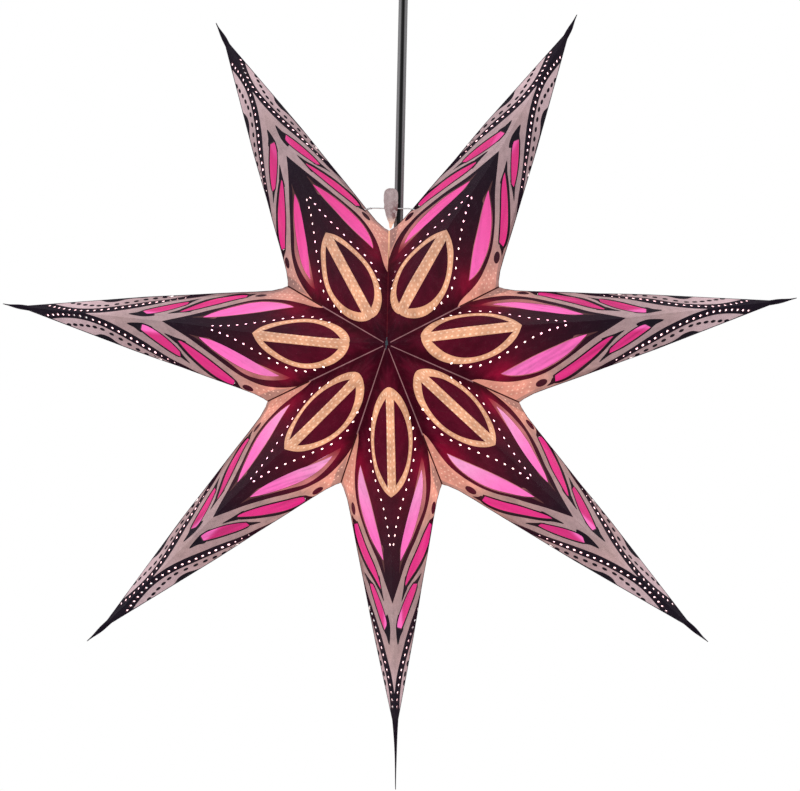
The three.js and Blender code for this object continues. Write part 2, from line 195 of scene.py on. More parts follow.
def mixed(tree, factor, a, b):
    """Two colours mixed, by the sockets that a colour mix node uses."""
    return node(tree, "ShaderNodeMix", {0: factor, 6: a, 7: b}, data_type="RGBA").outputs[2]


def new_group(name, kind, inputs, outputs):
    """An empty node group with its named sockets, as (tree, its input node, its output node)."""
    tree = bpy.data.node_groups.new(name, kind)
    for in_out, sockets in (("INPUT", inputs), ("OUTPUT", outputs)):
        for label, socket_kind in sockets.items():
            tree.interface.new_socket(label, in_out=in_out, socket_type="NodeSocket" + socket_kind)
    return tree, tree.nodes.new("NodeGroupInput"), tree.nodes.new("NodeGroupOutput")


def use_group(tree, group, **inputs):
    return feed(node(tree, "ShaderNodeGroup", node_tree=group), inputs)


def object_place(tree):
    """Where a shaded point is, in metres in the part's frame."""
    return tree.nodes.new("ShaderNodeTexCoord").outputs["Object"]


def noisy(tree, place, scale, detail, output="Fac", **more):
    inputs = {"Vector": place, "Scale": scale, "Detail": detail, **more}
    return node(tree, "ShaderNodeTexNoise", inputs).outputs[output]


def noise_at(tree, scale, detail, stretch=(1, 1, 1)):
    """Noise on the part itself, at that scale per metre."""
    place = node(tree, "ShaderNodeMapping", {"Vector": object_place(tree), "Scale": stretch})
    return noisy(tree, place.outputs[0], scale, detail)


def attribute(tree, name, output="Fac"):
    return node(tree, "ShaderNodeAttribute", attribute_name=name).outputs[output]


def times(tree, a, b):
    return maths(tree, "MULTIPLY", a, b)


def scaled(tree, vector, share):
    return node(tree, "ShaderNodeVectorMath", {0: vector, "Scale": share},
                operation="SCALE").outputs[0]


GLOW_CENTRE = Vector((-5.2, -4.0, -368.0)) * MM
GLOW_NEAR = 0.095
GLOW_FAR = 0.300
GLOW_POWER = 1.4


def glow_group():
    """How much of the lamp's light reaches a point: 1 near the star's middle, 0 at its tips."""
    tree, _, out = new_group("lamp_reach", "ShaderNodeTree", {}, {"Reach": "Float"})
    far = node(tree, "ShaderNodeVectorMath", {0: object_place(tree), 1: GLOW_CENTRE},
               operation="DISTANCE")
    share = ranged(tree, far.outputs["Value"], GLOW_NEAR, GLOW_FAR, 1.0, 0.0)
    feed(out, {0: maths(tree, "POWER", share, GLOW_POWER)})
    return tree


def fibre_group():
    """The cloudy pulp and long bast fibres of handmade paper."""
    tree, given, out = new_group(
        "paper_fibre", "ShaderNodeTree", {"Scale": "Float"},
        {"Pulp": "Float", "Fibres": "Float", "Height": "Float", "Patch": "Float"})
    place = scaled(tree, object_place(tree), given.outputs["Scale"])
    cloud = noisy(tree, place, 160, 4, Roughness=0.6)
    patch = noisy(tree, place, 62, 3, Roughness=0.55)
    fine = noisy(tree, place, 950, 3, Roughness=0.7)
    pulp = maths(tree, "ADD", times(tree, cloud, 0.55), times(tree, fine, 0.45))
    bent = noisy(tree, place, 70, 2, "Color")
    shifted = node(tree, "ShaderNodeMixRGB", {0: 0.03, 1: place, 2: bent}, blend_type="ADD")
    strands = []
    for turn, scale in ((0.5, 210), (2.1, 260), (1.2, 180)):
        laid = node(tree, "ShaderNodeMapping",
                    {"Vector": shifted.outputs[0], "Rotation": (turn, turn * 1.7, turn * 0.6),
                     "Scale": (1.0, 0.09, 1.0)})
        cell = node(tree, "ShaderNodeTexVoronoi", {"Vector": laid.outputs[0], "Scale": scale},
                    feature="DISTANCE_TO_EDGE")
        strands.append(ranged(tree, cell.outputs[0], 0.0, 0.035, 1.0, 0.0, smooth=True))
    fibres = maths(tree, "MAXIMUM", maths(tree, "MAXIMUM", strands[0], strands[1]), strands[2])
    sparse = times(tree, fibres, ranged(tree, cloud, 0.45, 0.62, 0.0, 1.0, smooth=True))
    height = maths(tree, "ADD", times(tree, pulp, 0.7), times(tree, sparse, 0.3))
    feed(out, {"Pulp": pulp, "Fibres": sparse, "Height": height, "Patch": patch})
    return tree


LAMP_REACH = glow_group()
PAPER_FIBRE = fibre_group()


def principled(name):
    material = bpy.data.materials.new(name)
    material.use_nodes = True
    tree = material.node_tree
    return material, tree, tree.nodes["Principled BSDF"]


def bumped(tree, height, strength, distance):
    return node(tree, "ShaderNodeBump",
                {"Height": height, "Strength": strength, "Distance": distance}).outputs[0]


def printed_paper():
    """Screen-printed paper: each ink has a colour in daylight and one with the lamp behind it."""
    material, tree, shader = principled("printed_paper")
    reach = use_group(tree, LAMP_REACH).outputs[0]
    paper = use_group(tree, PAPER_FIBRE, Scale=1.0)
    pulp, fibres = paper.outputs["Pulp"], paper.outputs["Fibres"]
    through = maths(tree, "POWER", reach, attribute(tree, "ink_density"))
    uneven = ranged(tree, pulp, 0.35, 0.65, 0.80, 1.18)
    shade = times(tree, uneven, maths(tree, "SUBTRACT", 1.0, times(tree, through, 0.85)))
    tint = scaled(tree, attribute(tree, "ink_day", "Color"), shade)
    patchy = times(tree, uneven, ranged(tree, paper.outputs["Patch"], 0.35, 0.65, 0.80, 1.20))
    blocked = maths(tree, "SUBTRACT", patchy, times(tree, fibres, 0.14))
    feed(shader, {
        "Base Color": mixed(tree, times(tree, fibres, 0.02), tint, (0.55, 0.45, 0.48)),
        "Emission Color": scaled(tree, attribute(tree, "ink_lit", "Color"), blocked),
        "Emission Strength": through, "Roughness": ranged(tree, pulp, 0.3, 0.7, 0.55, 0.75),
        "Specular IOR Level": 0.05,
        "Normal": bumped(tree, paper.outputs["Height"], 0.35, 0.0004)})
    return material


def lit_inside():
    """The bare inside of the paper, bright from the lamp."""
    material, tree, shader = principled("bare_paper_inside")
    reach = use_group(tree, LAMP_REACH).outputs[0]
    pulp = use_group(tree, PAPER_FIBRE, Scale=1.0).outputs["Pulp"]
    strength = times(tree, ranged(tree, reach, 0.0, 1.0, 1.15, 1.3),
                     ranged(tree, pulp, 0.35, 0.65, 0.88, 1.08))
    feed(shader, {"Base Color": (0.62, 0.50, 0.50), "Emission Strength": strength,
                  "Emission Color": mixed(tree, reach, (0.95, 0.74, 0.80), (1.0, 0.88, 0.78)),
                  "Roughness": 0.8})
    return material


def cut_edge():
    """The ink-stained fibres at a cut edge, lit through."""
    material, tree, shader = principled("cut_paper_edge")
    pulp = use_group(tree, PAPER_FIBRE, Scale=2.0).outputs["Pulp"]
    reach = use_group(tree, LAMP_REACH).outputs[0]
    colour = mixed(tree, pulp, (0.022, 0.008, 0.014), (0.060, 0.020, 0.030))
    feed(shader, {"Base Color": colour, "Emission Color": colour, "Roughness": 0.85,
                  "Emission Strength": ranged(tree, reach, 0.0, 1.0, 0.05, 1.2)})
    return material


def pink_tissue():
    """Thin dyed tissue with creases, paler where the lamp is close behind it."""
    material, tree, shader = principled("pink_tissue")
    reach = use_group(tree, LAMP_REACH).outputs[0]
    paper = use_group(tree, PAPER_FIBRE, Scale=TISSUE_GRAIN)
    pulp = paper.outputs["Pulp"]
    fold, wash = attribute(tree, "crease"), attribute(tree, "wash")
    far = mixed(tree, reach, (0.26, 0.008, 0.070), (0.60, 0.010, 0.165))
    deep = mixed(tree, ranged(tree, wash, 0.0, 0.5, 0.0, 1.0), far, (0.76, 0.145, 0.46))
    uneven = ranged(tree, pulp, 0.35, 0.65, 0.88, 1.12)
    # Painted shade along the creases: the tissue's daylight colour is darker there and its glow
    # weaker
    feed(shader, {
        "Base Color": mixed(tree, fold, (0.30, 0.014, 0.10), (0.16, 0.006, 0.05)),
        "Emission Color": mixed(tree, ranged(tree, wash, 0.5, 1.0, 0.0, 1.0), deep,
                                (0.68, 0.46, 0.64)),
        "Emission Strength": times(tree, uneven,
                                   maths(tree, "SUBTRACT", 1.0, times(tree, fold, 0.28))),
        "Roughness": ranged(tree, pulp, 0.3, 0.7, 0.5, 0.75), "Specular IOR Level": 0.2,
        "Normal": bumped(tree, paper.outputs["Height"], 0.3, 0.0003)})
    return material


def tissue_back():
    """The tissue's inner side, washed nearly white by the bare lamp."""
    material, tree, shader = principled("tissue_lamp_side")
    pulp = use_group(tree, PAPER_FIBRE, Scale=TISSUE_GRAIN).outputs["Pulp"]
    colour = mixed(tree, pulp, (0.90, 0.55, 0.70), (1.0, 0.78, 0.86))
    feed(shader, {"Base Color": colour, "Emission Color": colour, "Emission Strength": 1.1,
                  "Roughness": 0.8})
    return material


TISSUE_GRAIN = 1.4
PAPER = printed_paper()
INSIDE = lit_inside()
EDGE = cut_edge()
TISSUE = pink_tissue()
TISSUE_BACK = tissue_back()


# ---------------------------------------------------------------- repeated details
def geometry_tree(name, inputs):
    return new_group(name, "GeometryNodeTree", {"Geometry": "Geometry", **inputs},
                     {"Geometry": "Geometry"})


def finished_tree(tree, given, out, geometry):
    """The tree's end: real geometry, smooth, with its material."""
    real = node(tree, "GeometryNodeRealizeInstances", {0: geometry}).outputs[0]
    soft = node(tree, "GeometryNodeSetShadeSmooth", {0: real}).outputs[0]
    last = node(tree, "GeometryNodeSetMaterial",
                {"Geometry": soft, "Material": given.outputs["Material"]}).outputs[0]
    feed(out, {0: last})
    return tree


def ring_tree():
    """A small torus on every point, lying square to the point's own axis."""
    tree, given, out = geometry_tree("rings_on_points", {
        "Radius": "Float", "Thickness": "Float", "Sides": "Int", "Uneven": "Float",
        "Seed": "Int", "Material": "Material"})
    path = node(tree, "GeometryNodeCurvePrimitiveCircle",
                {"Resolution": given.outputs["Sides"], "Radius": given.outputs["Radius"]})
    rim = node(tree, "GeometryNodeCurvePrimitiveCircle",
               {"Resolution": 6, "Radius": given.outputs["Thickness"]})
    ring = node(tree, "GeometryNodeCurveToMesh", {0: path.outputs[0], 1: rim.outputs[0]})
    axis = node(tree, "GeometryNodeInputNamedAttribute", {"Name": "lie"},
                data_type="FLOAT_VECTOR")
    turn = node(tree, "FunctionNodeAlignRotationToVector", {"Vector": axis.outputs[0]}, axis="Z")
    size = node(tree, "GeometryNodeInputNamedAttribute", {"Name": "size"}, data_type="FLOAT")
    chance = node(tree, "FunctionNodeRandomValue", {"Seed": given.outputs["Seed"]},
                  data_type="FLOAT")
    low, high = [socket for socket in chance.inputs if socket.type == "VALUE"][:2]
    for operation, socket in (("SUBTRACT", low), ("ADD", high)):
        tree.links.new(maths(tree, operation, 1.0, given.outputs["Uneven"]), socket)
    picked = next(socket for socket in chance.outputs if socket.type == "VALUE")
    scale = times(tree, picked, size.outputs[0])
    placed = node(tree, "GeometryNodeInstanceOnPoints",
                  {"Points": given.outputs["Geometry"], "Instance": ring.outputs[0],
                   "Rotation": turn.outputs[0], "Scale": scale})
    return finished_tree(tree, given, out, placed.outputs[0])


def wound_tree():
    """A thread wound round an axis in close turns."""
    tree, given, out = geometry_tree("wound_thread", {
        "Turns": "Float", "Start Radius": "Float", "End Radius": "Float", "Height": "Float",
        "Thickness": "Float", "Material": "Material"})
    path = node(tree, "GeometryNodeCurveSpiral",
                {"Resolution": 18, "Rotations": given.outputs["Turns"],
                 "Start Radius": given.outputs["Start Radius"],
                 "End Radius": given.outputs["End Radius"], "Height": given.outputs["Height"]})
    rim = node(tree, "GeometryNodeCurvePrimitiveCircle",
               {"Resolution": 8, "Radius": given.outputs["Thickness"]})
    tube = node(tree, "GeometryNodeCurveToMesh",
                {0: path.outputs[0], 1: rim.outputs[0]})
    tube.inputs["Fill Caps"].default_value = True
    return finished_tree(tree, given, out, tube.outputs[0])


def made_by(tree, points, values, axes=None, sizes=None):
    """The plain mesh that a tree makes from points, with its named inputs set."""
    start = bpy.data.meshes.new("points")
    start.from_pydata([tuple(p) for p in points], [], [])
    if axes is not None:
        layer = start.attributes.new("lie", "FLOAT_VECTOR", "POINT")
        layer.data.foreach_set("vector", np.array(axes, np.float32).ravel())
        stored(start, "size", sizes)
    holder = link("points", start)
    modifier = holder.modifiers.new("growth", "NODES")
    modifier.node_group = tree
    for item in tree.interface.items_tree:
        if item.in_out == "INPUT" and item.name in values:
            modifier[item.identifier] = values[item.name]
    graph = bpy.context.evaluated_depsgraph_get()
    mesh = bpy.data.meshes.new_from_object(holder.evaluated_get(graph))
    holder.modifiers.remove(modifier)
    bpy.data.objects.remove(holder)
    return mesh


RINGS = ring_tree()
WOUND = wound_tree()


def moved_mesh(mesh, matrix, slot=0):
    mesh.transform(matrix)
    mesh.polygons.foreach_set("material_index", np.full(len(mesh.polygons), slot, np.int32))
    return mesh


# ---------------------------------------------------------------- the folded arms
ARM_COUNT = 7
LOWEST_ARM_DEG = -90.0
NOTCH_X = 118.3
NOTCH_Y = 82.1
SHEET = 0.22
LONG_RIDGE = 311.4
SHORT_RIDGE = 282.4
SEAM_FLAP = 8.0
PETAL_GAP = 1.6
DENTS = 0.9
FACES = {"front": -1, "back": 1}
SIDES = ("before", "after")

# Each arm's turn from its even place, its reach, its needle's length, the turn and reach of the
# notch after it, and how far its ridge bows towards that notch.
ARMS = [
    (0.5, 315, 40, -2.9, 96, 1.0),
    (-2.9, 312, 12, -2.9, 99, 0.0),
    (-3.3, 308, 12, -1.3, 101, 4.3),
    (-1.7, 306, 11, 1.3, 105, 6.0),
    (1.0, 300, 11, 0.0, 101, 1.5),
    (3.1, 299, 11, 2.1, 97, 3.0),
    (3.5, 306, 12, 1.9, 95, 2.3),
]


def star_centre():
    """The middle between the star's front and back apexes, read from the CAD's lowest arm."""
    places = np.array([v.co for v in NODES["arm_1"].data.vertices])
    front = places[places[:, 1].argmin()]
    back = places[places[:, 1].argmax()]
    return Vector((front + back) / 2), (back[1] - front[1]) / 2


CENTRE, APEX_DEPTH = star_centre()


def ridge_of(index):
    """The ridge of an arm in the flat: the arm with the long needle has a shorter one."""
    return SHORT_RIDGE if ARMS[index][2] > 20 else LONG_RIDGE


def in_plane(degrees, reach):
    turn = math.radians(degrees)
    return Vector((math.cos(turn), 0, math.sin(turn))) * reach * MM


def even_turn(index):
    return LOWEST_ARM_DEG + 360 / ARM_COUNT * index


def notch_after(index):
    row = ARMS[index % ARM_COUNT]
    return in_plane(even_turn(index + 0.5) + row[3], row[4])


# ---------------------------------------------------------------- the printed pattern
def smooth(points, closed=False, step=2.2):
    """A Catmull-Rom curve through points, cut into steps of about that length."""
    given = [np.array(p, float) for p in points]
    count = len(given)
    spans = count if closed else count - 1
    curve = []
    for i in range(spans):
        b, c = given[i], given[(i + 1) % count]
        a = given[(i - 1) % count] if closed or i > 0 else b * 2 - c
        d = given[(i + 2) % count] if closed or i + 2 < count else c * 2 - b
        cuts = max(1, round(np.linalg.norm(c - b) / step))
        for k in range(cuts):
            t = k / cuts
            curve.append(0.5 * (2 * b + (c - a) * t + (2 * a - 5 * b + 4 * c - d) * t * t
                                + (3 * b - a - 3 * c + d) * t ** 3))
    if not closed:
        curve.append(given[-1])
    return curve


def petal_ring(upper, lower):
    """A petal's closed outline, without the same point twice."""
    ring = cubic(*upper) + [np.array(upper[3], float)]
    ring += cubic(*lower)[1 if lower[0] == upper[3] else 0:]
    if lower[3] != upper[0]:
        ring.append(np.array(lower[3], float))
    return ring


def cubic(a, b, c, d, steps=16):
    a, b, c, d = (np.array(p, float) for p in (a, b, c, d))
    return [(1 - t) ** 3 * a + 3 * t * (1 - t) ** 2 * b + 3 * t * t * (1 - t) * c + t ** 3 * d
            for t in np.linspace(0, 1, steps, endpoint=False)]


def grown(polygon, by):
    """A closed polygon with its outline moved outwards."""
    ring = np.array(polygon)
    area = np.sum(ring[:, 0] * np.roll(ring[:, 1], -1) - np.roll(ring[:, 0], -1) * ring[:, 1])
    along = np.roll(ring, -1, 0) - np.roll(ring, 1, 0)
    along /= np.linalg.norm(along, axis=1)[:, None] + 1e-9
    side = np.stack([along[:, 1], -along[:, 0]], 1) * (1 if area > 0 else -1)
    return list(ring + side * by)


def oval(centre, length, width, degrees=0.0, sides=8):
    """A closed ring of points round a centre, its length turned by that many degrees."""
    turn = math.radians(degrees)
    ax = np.array([math.cos(turn), math.sin(turn)]) * length / 2
    ay = np.array([-math.sin(turn), math.cos(turn)]) * width / 2
    return [np.array(centre, float) + ax * math.cos(2 * math.pi * k / sides)
            + ay * math.sin(2 * math.pi * k / sides) for k in range(sides)]


def along_row(points):
    """The heading in degrees at each point of a row."""
    row = np.array(points, float)
    heading = np.gradient(row, axis=0)
    return [math.degrees(math.atan2(dy, dx)) for dx, dy in heading]


# The three petals cut out of the panels before and after an arm's ridge. The upper and the lower
# side of a petal are cubic curves given by four points each.
PETALS = {
    "before": [
        [[(97.5, 48.5), (112, 56), (138, 58), (159, 14)],
         [(159, 14), (143, 17), (122, 34), (97.5, 48.5)]],
        [[(143, 61.6), (155.5, 61.5), (171, 40), (181, 19)],
         [(178, 19.5), (168, 24.5), (155, 44.5), (141.5, 56)]],
        [[(181, 37.5), (190, 34), (202, 23), (209.5, 13.5)],
         [(205, 10), (199, 8), (188, 22), (180.5, 33)]],
    ],
    "after": [
        [[(100, 49), (112, 53), (136, 51), (159, 13.8)],
         [(159, 13.8), (141, 13), (123, 31), (100, 49)]],
        [[(143.5, 65.6), (156, 64), (171.5, 41.5), (178.8, 21)],
         [(176.5, 20.5), (167, 25), (153.5, 44), (141, 60.5)]],
        [[(181, 39.5), (190, 36), (201, 22), (208, 12)],
         [(205.5, 6.2), (198, 5), (187, 19), (180, 34)]],
    ],
}

BAND_OUTER = [(70, 48.6), (77.5, 54.8), (85, 59), (95, 62.2), (105, 63.8), (115, 63.4), (125, 60),
              (135, 53.2), (145, 42.6), (155, 30), (165, 18.6), (175, 9.4), (186, 0)]
BAND_BEFORE = [(73, 50.7), (79, 50.6), (86, 52.6), (95, 55.8), (105, 58.2), (115, 58.3),
               (125, 56), (135, 51), (145, 42), (155, 30.4), (165, 19.4), (175, 10), (186, 0)]
LEAF = [(30.2, -7), (30, 0), (31.6, 5), (34.6, 11), (40.6, 19.5), (50, 28.2), (61, 33.8),
        (74, 36.2), (85, 34.6), (95, 29.6), (103, 21.4), (107.4, 12), (109, 2), (109, -6)]
LEAF_HEART = [(40.6, 8), (45, 13.6), (52, 20.6), (60, 26), (68, 29.2), (76, 30.2), (84, 28.6),
              (91, 24.4), (96.6, 18.4), (100.6, 12), (102.4, 8)]
PETAL_RIM = [(91, 50), (96, 53), (108, 55.6), (120, 55), (130, 51), (140, 40), (150, 28),
             (160, 16), (167, 11.4)]
BEAD_BAND_INNER = [(158, 64), (164, 60), (172, 55), (180, 49), (190, 42.6), (200, 34.6),
                   (210, 25.2), (220, 16.6), (230, 9.4), (240, 4), (250, 0.6), (257, -2)]
BEAD_BAND_OUTER = [(292, 14), (288, 12), (280, 9.6), (270, 7.8), (260, 7.4), (250, 9.4),
                   (240, 13.8), (230, 20.6), (220, 28.4), (210, 35.6), (200, 42.4), (192, 48),
                   (184, 53.4), (174, 58), (164, 62.6)]
PUNCHED_INNER = [(59, 32.8), (67.3, 37.3), (75.6, 40.2), (83.4, 40.2), (90.8, 37.5), (97.3, 33.5),
                 (103, 28.8), (109.2, 24.1), (115, 19.2), (120.6, 14.6), (126.4, 10.8),
                 (132.2, 7.4), (138, 5.2), (144, 3)]
PUNCHED_OUTER = [(188.8, 46.6), (193.8, 43.4), (198.4, 40.4), (202.8, 37.2), (207, 34.2),
                 (211.4, 31), (215.5, 27.6), (219.8, 24.2), (224, 20.8), (228.5, 17.4),
                 (232.9, 14), (237.8, 11), (242.6, 8.6), (247.6, 6.4), (252.7, 4.8), (257.8, 3.8),
                 (262.8, 3.6), (267.8, 3.6), (272.8, 4), (277.6, 4.8), (282.2, 5.8), (287, 6.9),
                 (291.4, 7.8)]
PRINTED_DOTS = [(204.6, 45), (210.8, 40.9), (217, 36.6), (222.9, 31.6), (229, 26.6), (235.4, 21.6),
                (242, 16.9), (248, 15.2), (253.7, 14.6), (259.5, 14.6), (265.2, 15), (270.7, 15.6)]
CRESCENT = [(216, 42), (224, 37.4), (230, 33.6), (234, 30), (237.6, 25.8), (242, 23.4),
            (246, 23), (250, 24.4), (255, 23.8), (262, 21), (268, 18), (276, 14.2), (286, 9.8),
            (292, 12), (270, 26), (240, 40), (216, 52)]

# How far the side fold dips below a straight line, by x, on the panels before and after an arm
DIP_X = [NOTCH_X, 121, 128, 140, 150, 165, 185, 200, 220]
DIP = {"before": [0, 2.6, 4.9, 4.6, 3.8, 2.8, 2.0, 1.1, 0],
       "after": [0, 2.0, 3.9, 3.8, 3.3, 2.6, 2.3, 1.1, 0]}

# The inks: colour in daylight, colour with the lamp behind, and how fast that fades with distance
INKS = {
    "plum": ((0.0080, 0.0034, 0.0105), (0.086, 0.0022, 0.0130), 4.0),
    "outline": ((0.0075, 0.0040, 0.0100), (0.042, 0.0024, 0.008), 4.0),
    "leaf": ((0.330, 0.225, 0.230), (0.80, 0.385, 0.215), 1.0),
    "prick": ((0.330, 0.245, 0.240), (1.02, 0.62, 0.42), 1.0),
    "cream": ((0.340, 0.245, 0.262), (0.80, 0.31, 0.225), 2.5),
    "glint": ((0.340, 0.245, 0.262), (1.05, 0.56, 0.42), 2.2),
    # A double layer of paper, greyed as painted shade in daylight and letting less lamp light
    # through
    "doubled_shade": ((0.215, 0.165, 0.185), (0.52, 0.24, 0.19), 2.8),
    "rim": ((0.200, 0.125, 0.140), (0.50, 0.15, 0.145), 1.2),
    "seam_light": ((0.11, 0.07, 0.09), (0.34, 0.16, 0.17), 1.0),
    "seam_dark": ((0.03, 0.015, 0.02), (0.06, 0.010, 0.010), 1.5),
    "seam_dim": ((0.02, 0.008, 0.012), (0.10, 0.008, 0.014), 1.5),
    # the lamp's light through an open seam, painted on the seam line
    "seam_open_glow": ((0.30, 0.15, 0.12), (1.10, 0.60, 0.36), 1.5),
}


# On the panels before an arm the print lies a little closer to the ridge: the share by x, after
# a first share that each call gives. The bead bands and dots start at BAND_SHARE.
SQUEEZE_X = [140, 165, 205, 222, 240]
SQUEEZE = [1.0, 0.94, 0.94, 1.0]
BAND_SHARE = 0.918


def squeezed(points, kind, share=BAND_SHARE):
    """A row or outline of the print, drawn in towards the ridge on the panels before an arm."""
    if kind == "after":
        return points
    return [np.array((p[0], p[1] * np.interp(p[0], SQUEEZE_X, [share] + SQUEEZE)))
            for p in points]


def side_line(x, ridge, kind):
    """The side fold's y at x in the flat panel."""
    return NOTCH_Y * (ridge - x) / (ridge - NOTCH_X) - np.interp(x, DIP_X, DIP[kind], right=0)


def kept_inside(points, ridge, kind, gap):
    """Points moved, where they have to be, to stay that far inside the side fold."""
    return [np.array((p[0], min(p[1], side_line(max(p[0], NOTCH_X), ridge, kind) - gap)))
            for p in points]


def fold_outline(ridge, kind):
    """A panel's outline: its seam, its side fold and its ridge, in short steps."""
    steps = [(0.0, 0.0)]
    steps += [(NOTCH_X * k / 30, NOTCH_Y * k / 30) for k in range(1, 30)]
    steps += [(x, side_line(x, ridge, kind))
              for x in np.concatenate([[NOTCH_X, 119.6, 121, 124], np.arange(128, ridge, 4.0)])]
    steps += [(ridge, 0.0)]
    steps += [(x, 0.0) for x in np.arange(math.floor(ridge / 4) * 4 - 4, 0, -4.0)]
    return [np.array(p, float) for p in steps]


def as_points(*pairs):
    return [np.array(p, float) for p in pairs]


def fold_line_strip(ridge, kind, start, end, width):
    """A strip along the side fold, between two places on the ridge."""
    xs = np.arange(start, end, 4.0)
    over = as_points(*[(x, side_line(x, ridge, kind) + 2) for x in xs])
    under = as_points(*[(x, side_line(x, ridge, kind) - width) for x in xs])
    return over + under[::-1]


# Where the leaf's print starts and ends along each arm's ridge, as printed slightly off register,
# and how close it lies to the ridge on the panel before it
LEAF_START, LEAF_END = 30.0, 109.0
REGISTER = [(30.5, 109, 0.85), (29, 107.5, 0.88), (26.5, 104.4, 0.92), (26.5, 106, 0.9),
            (25.5, 109, 0.9), (30, 109.5, 0.86), (30, 110, 0.85)]


def registered(points, kind, index):
    """The leaf's print moved along the ridge as on that arm, fading out beyond the leaf."""
    start, end, share = REGISTER[index]
    moved = []
    for x, y in points:
        near = np.interp(x, [LEAF_START, LEAF_END, LEAF_END + 40],
                         [start - LEAF_START, end - LEAF_END, end - LEAF_END])
        moved.append((x + near, y))
    return squeezed(moved, kind, share)


def print_layers(kind, ridge, index):
    """Painter's layers: a name of an ink and a closed polygon, the later over the earlier."""
    after = kind == "after"
    band = smooth(BAND_OUTER if after else BAND_BEFORE)
    leaf = registered(smooth(LEAF), kind, index)
    heart = registered(smooth(LEAF_HEART), kind, index)
    if not after:
        heart[0], heart[-1] = heart[0] - (1.4, 1.4), heart[-1] + (1.2, -1.4)
    inner, middle, outer = (petal_ring(*sides) for sides in PETALS[kind])
    layers = [("cream", band + as_points((340, 0), (340, 70), (118, 110), (60, 62)))]
    # Painted shade where the paper lies in a double layer: by the notch after the ridge, along the
    # side fold before it
    if after:
        layers.append(("doubled_shade", as_points((96, 64), (120, 84), (124, 75), (108, 66.5))))
    else:
        layers.append(("doubled_shade", fold_line_strip(ridge, kind, 113, 181, 5.0)))
    layers += [("outline", fold_line_strip(ridge, kind, 119, ridge - 6, 1.0))]
    eye = (131.6, 67.4) if after else (132.0, 62.2)
    arc = [(135.4, 71), (139.6, 69.4), (142.4, 67.4), (141.6, 63), (139.2, 60.4), (138.6, 64),
           (137.6, 68)] if after else \
        [(136.8, 65.6), (140.4, 64.6), (143.2, 62.4), (141.6, 57), (139.6, 58.4), (139, 62)]
    layers += [
        ("plum", oval(eye, 9.2, 6.8, -24, 16)),
        ("outline", grown(middle, 1.8)),
        ("outline", [p + (0.7, 1.2) for p in grown(middle, 1.4)]),
        ("outline", smooth([(171, 21), (180, 17), (188, 13.6), (184, 19.5), (179, 25)], True)),
        ("outline", smooth(arc, True)),
        ("outline", grown(outer, 1.3)),
        ("outline", [p + (0.6, -0.9) for p in grown(outer, 1.1)]),
        ("outline", smooth([(174.6, 46), (178, 37.5), (181.2, 29), (185, 31.6), (186, 35),
                            (180.6, 40.4)], True)),
        ("outline", smooth([(196, 8.4), (203, 4.6), (211, 4.8), (218, 6.6), (212.4, 10.6),
                            (208.6, 15.4), (204, 14)], True)),
        ("plum", squeezed(smooth(BEAD_BAND_INNER), kind)
         + as_points((257, -8), (340, -8), (340, 30))
         + squeezed(smooth(BEAD_BAND_OUTER), kind)),
        ("outline", squeezed(smooth(CRESCENT, True), kind)),
    ]
    dots = squeezed(PRINTED_DOTS, kind)
    layers += [("outline", oval(p, 4.3, 3.5, turn)) for p, turn in zip(dots, along_row(dots))]
    dashes = np.arange(186, 206, 3.0)
    layers += [("outline", oval((x, y), 2.6, 1.1, -38)) for x, y in
               zip(dashes, np.interp(dashes, [180, 192, 200, 210], [56, 50, 44.4, 38]))]
    layers += [("leaf", leaf), ("plum", heart)]
    layers += [("prick", oval(p, 2.1, 2.1, 0, 8)) for p in leaf_pricks(kind, index)]
    layers += [("glint", oval(p, 1.7, 1.7, 0, 6)) for p in notch_pricks(kind)]
    if after:
        lens = smooth(PETAL_RIM) + as_points((159.0, 12.9), (150.0, 13.2))
        layers.append(("rim", lens + list(reversed(inner[17:]))))
    else:
        layers.append(("rim", grown(inner, 0.8)))
        layers.append(("rim", smooth([(150, 26), (158, 17.5), (166.5, 12.0), (158, 13.4),
                                      (148, 15)], True)))
    layers += [("seam_light", as_points((3.5, 2.43), (76, 52.76), (76, 52.0), (3.5, 1.9))),
               ("seam_dark", as_points((76, 52.8), (118.3, 82.4), (118.3, 81.2), (76, 51.7)))]
    return layers


def leaf_pricks(kind, index):
    """The fine pin-pricks in the leaf's bar and rim."""
    found = [(x, y) for x in np.arange(36.5, 106, 4.7) for y in (0.0, 5.2)]
    middle = smooth([(35, 5), (38, 12), (44.4, 19.6), (52, 25.6), (61, 30.2), (74, 33.2),
                     (84, 31.8), (92, 27.6), (99, 20.6), (104, 11), (105.4, 4)], step=4.4)
    return [tuple(p) for p in registered(found + middle, kind, index)]


def notch_pricks(kind):
    """The pin-pricks in arcs over the pale paper by the notch."""
    found = []
    for lift in (3.6, 8.4, 13.0):
        row = smooth([(84 + lift, 60.2 + lift), (96, 63.6 + lift), (106, 65.2 + lift),
                      (118, 64.6 + lift), (128, 60.8 + lift), (136, 55 + lift)], step=4.4)
        for p in squeezed(row, kind):
            seam = NOTCH_Y * p[0] / NOTCH_X if p[0] < NOTCH_X else 1000
            edge = side_line(max(p[0], NOTCH_X), LONG_RIDGE, kind)
            if p[1] < seam - 3 and p[1] < edge - 5 and not 126 < p[0] < 146:
                found.append(tuple(p))
    return found


def punch_places(kind, ridge, index):
    """The middle and the diameter of each hole punched through a panel."""
    places = [(p, 2.2) for p in registered(PUNCHED_INNER, kind, index)]
    for p in squeezed(PUNCHED_OUTER, kind):
        if p[0] < ridge - 16 and p[1] < side_line(p[0], ridge, kind) - 2.2:
            places.append((p, 1.8 if p[0] < 200 else 2.7))
    return places


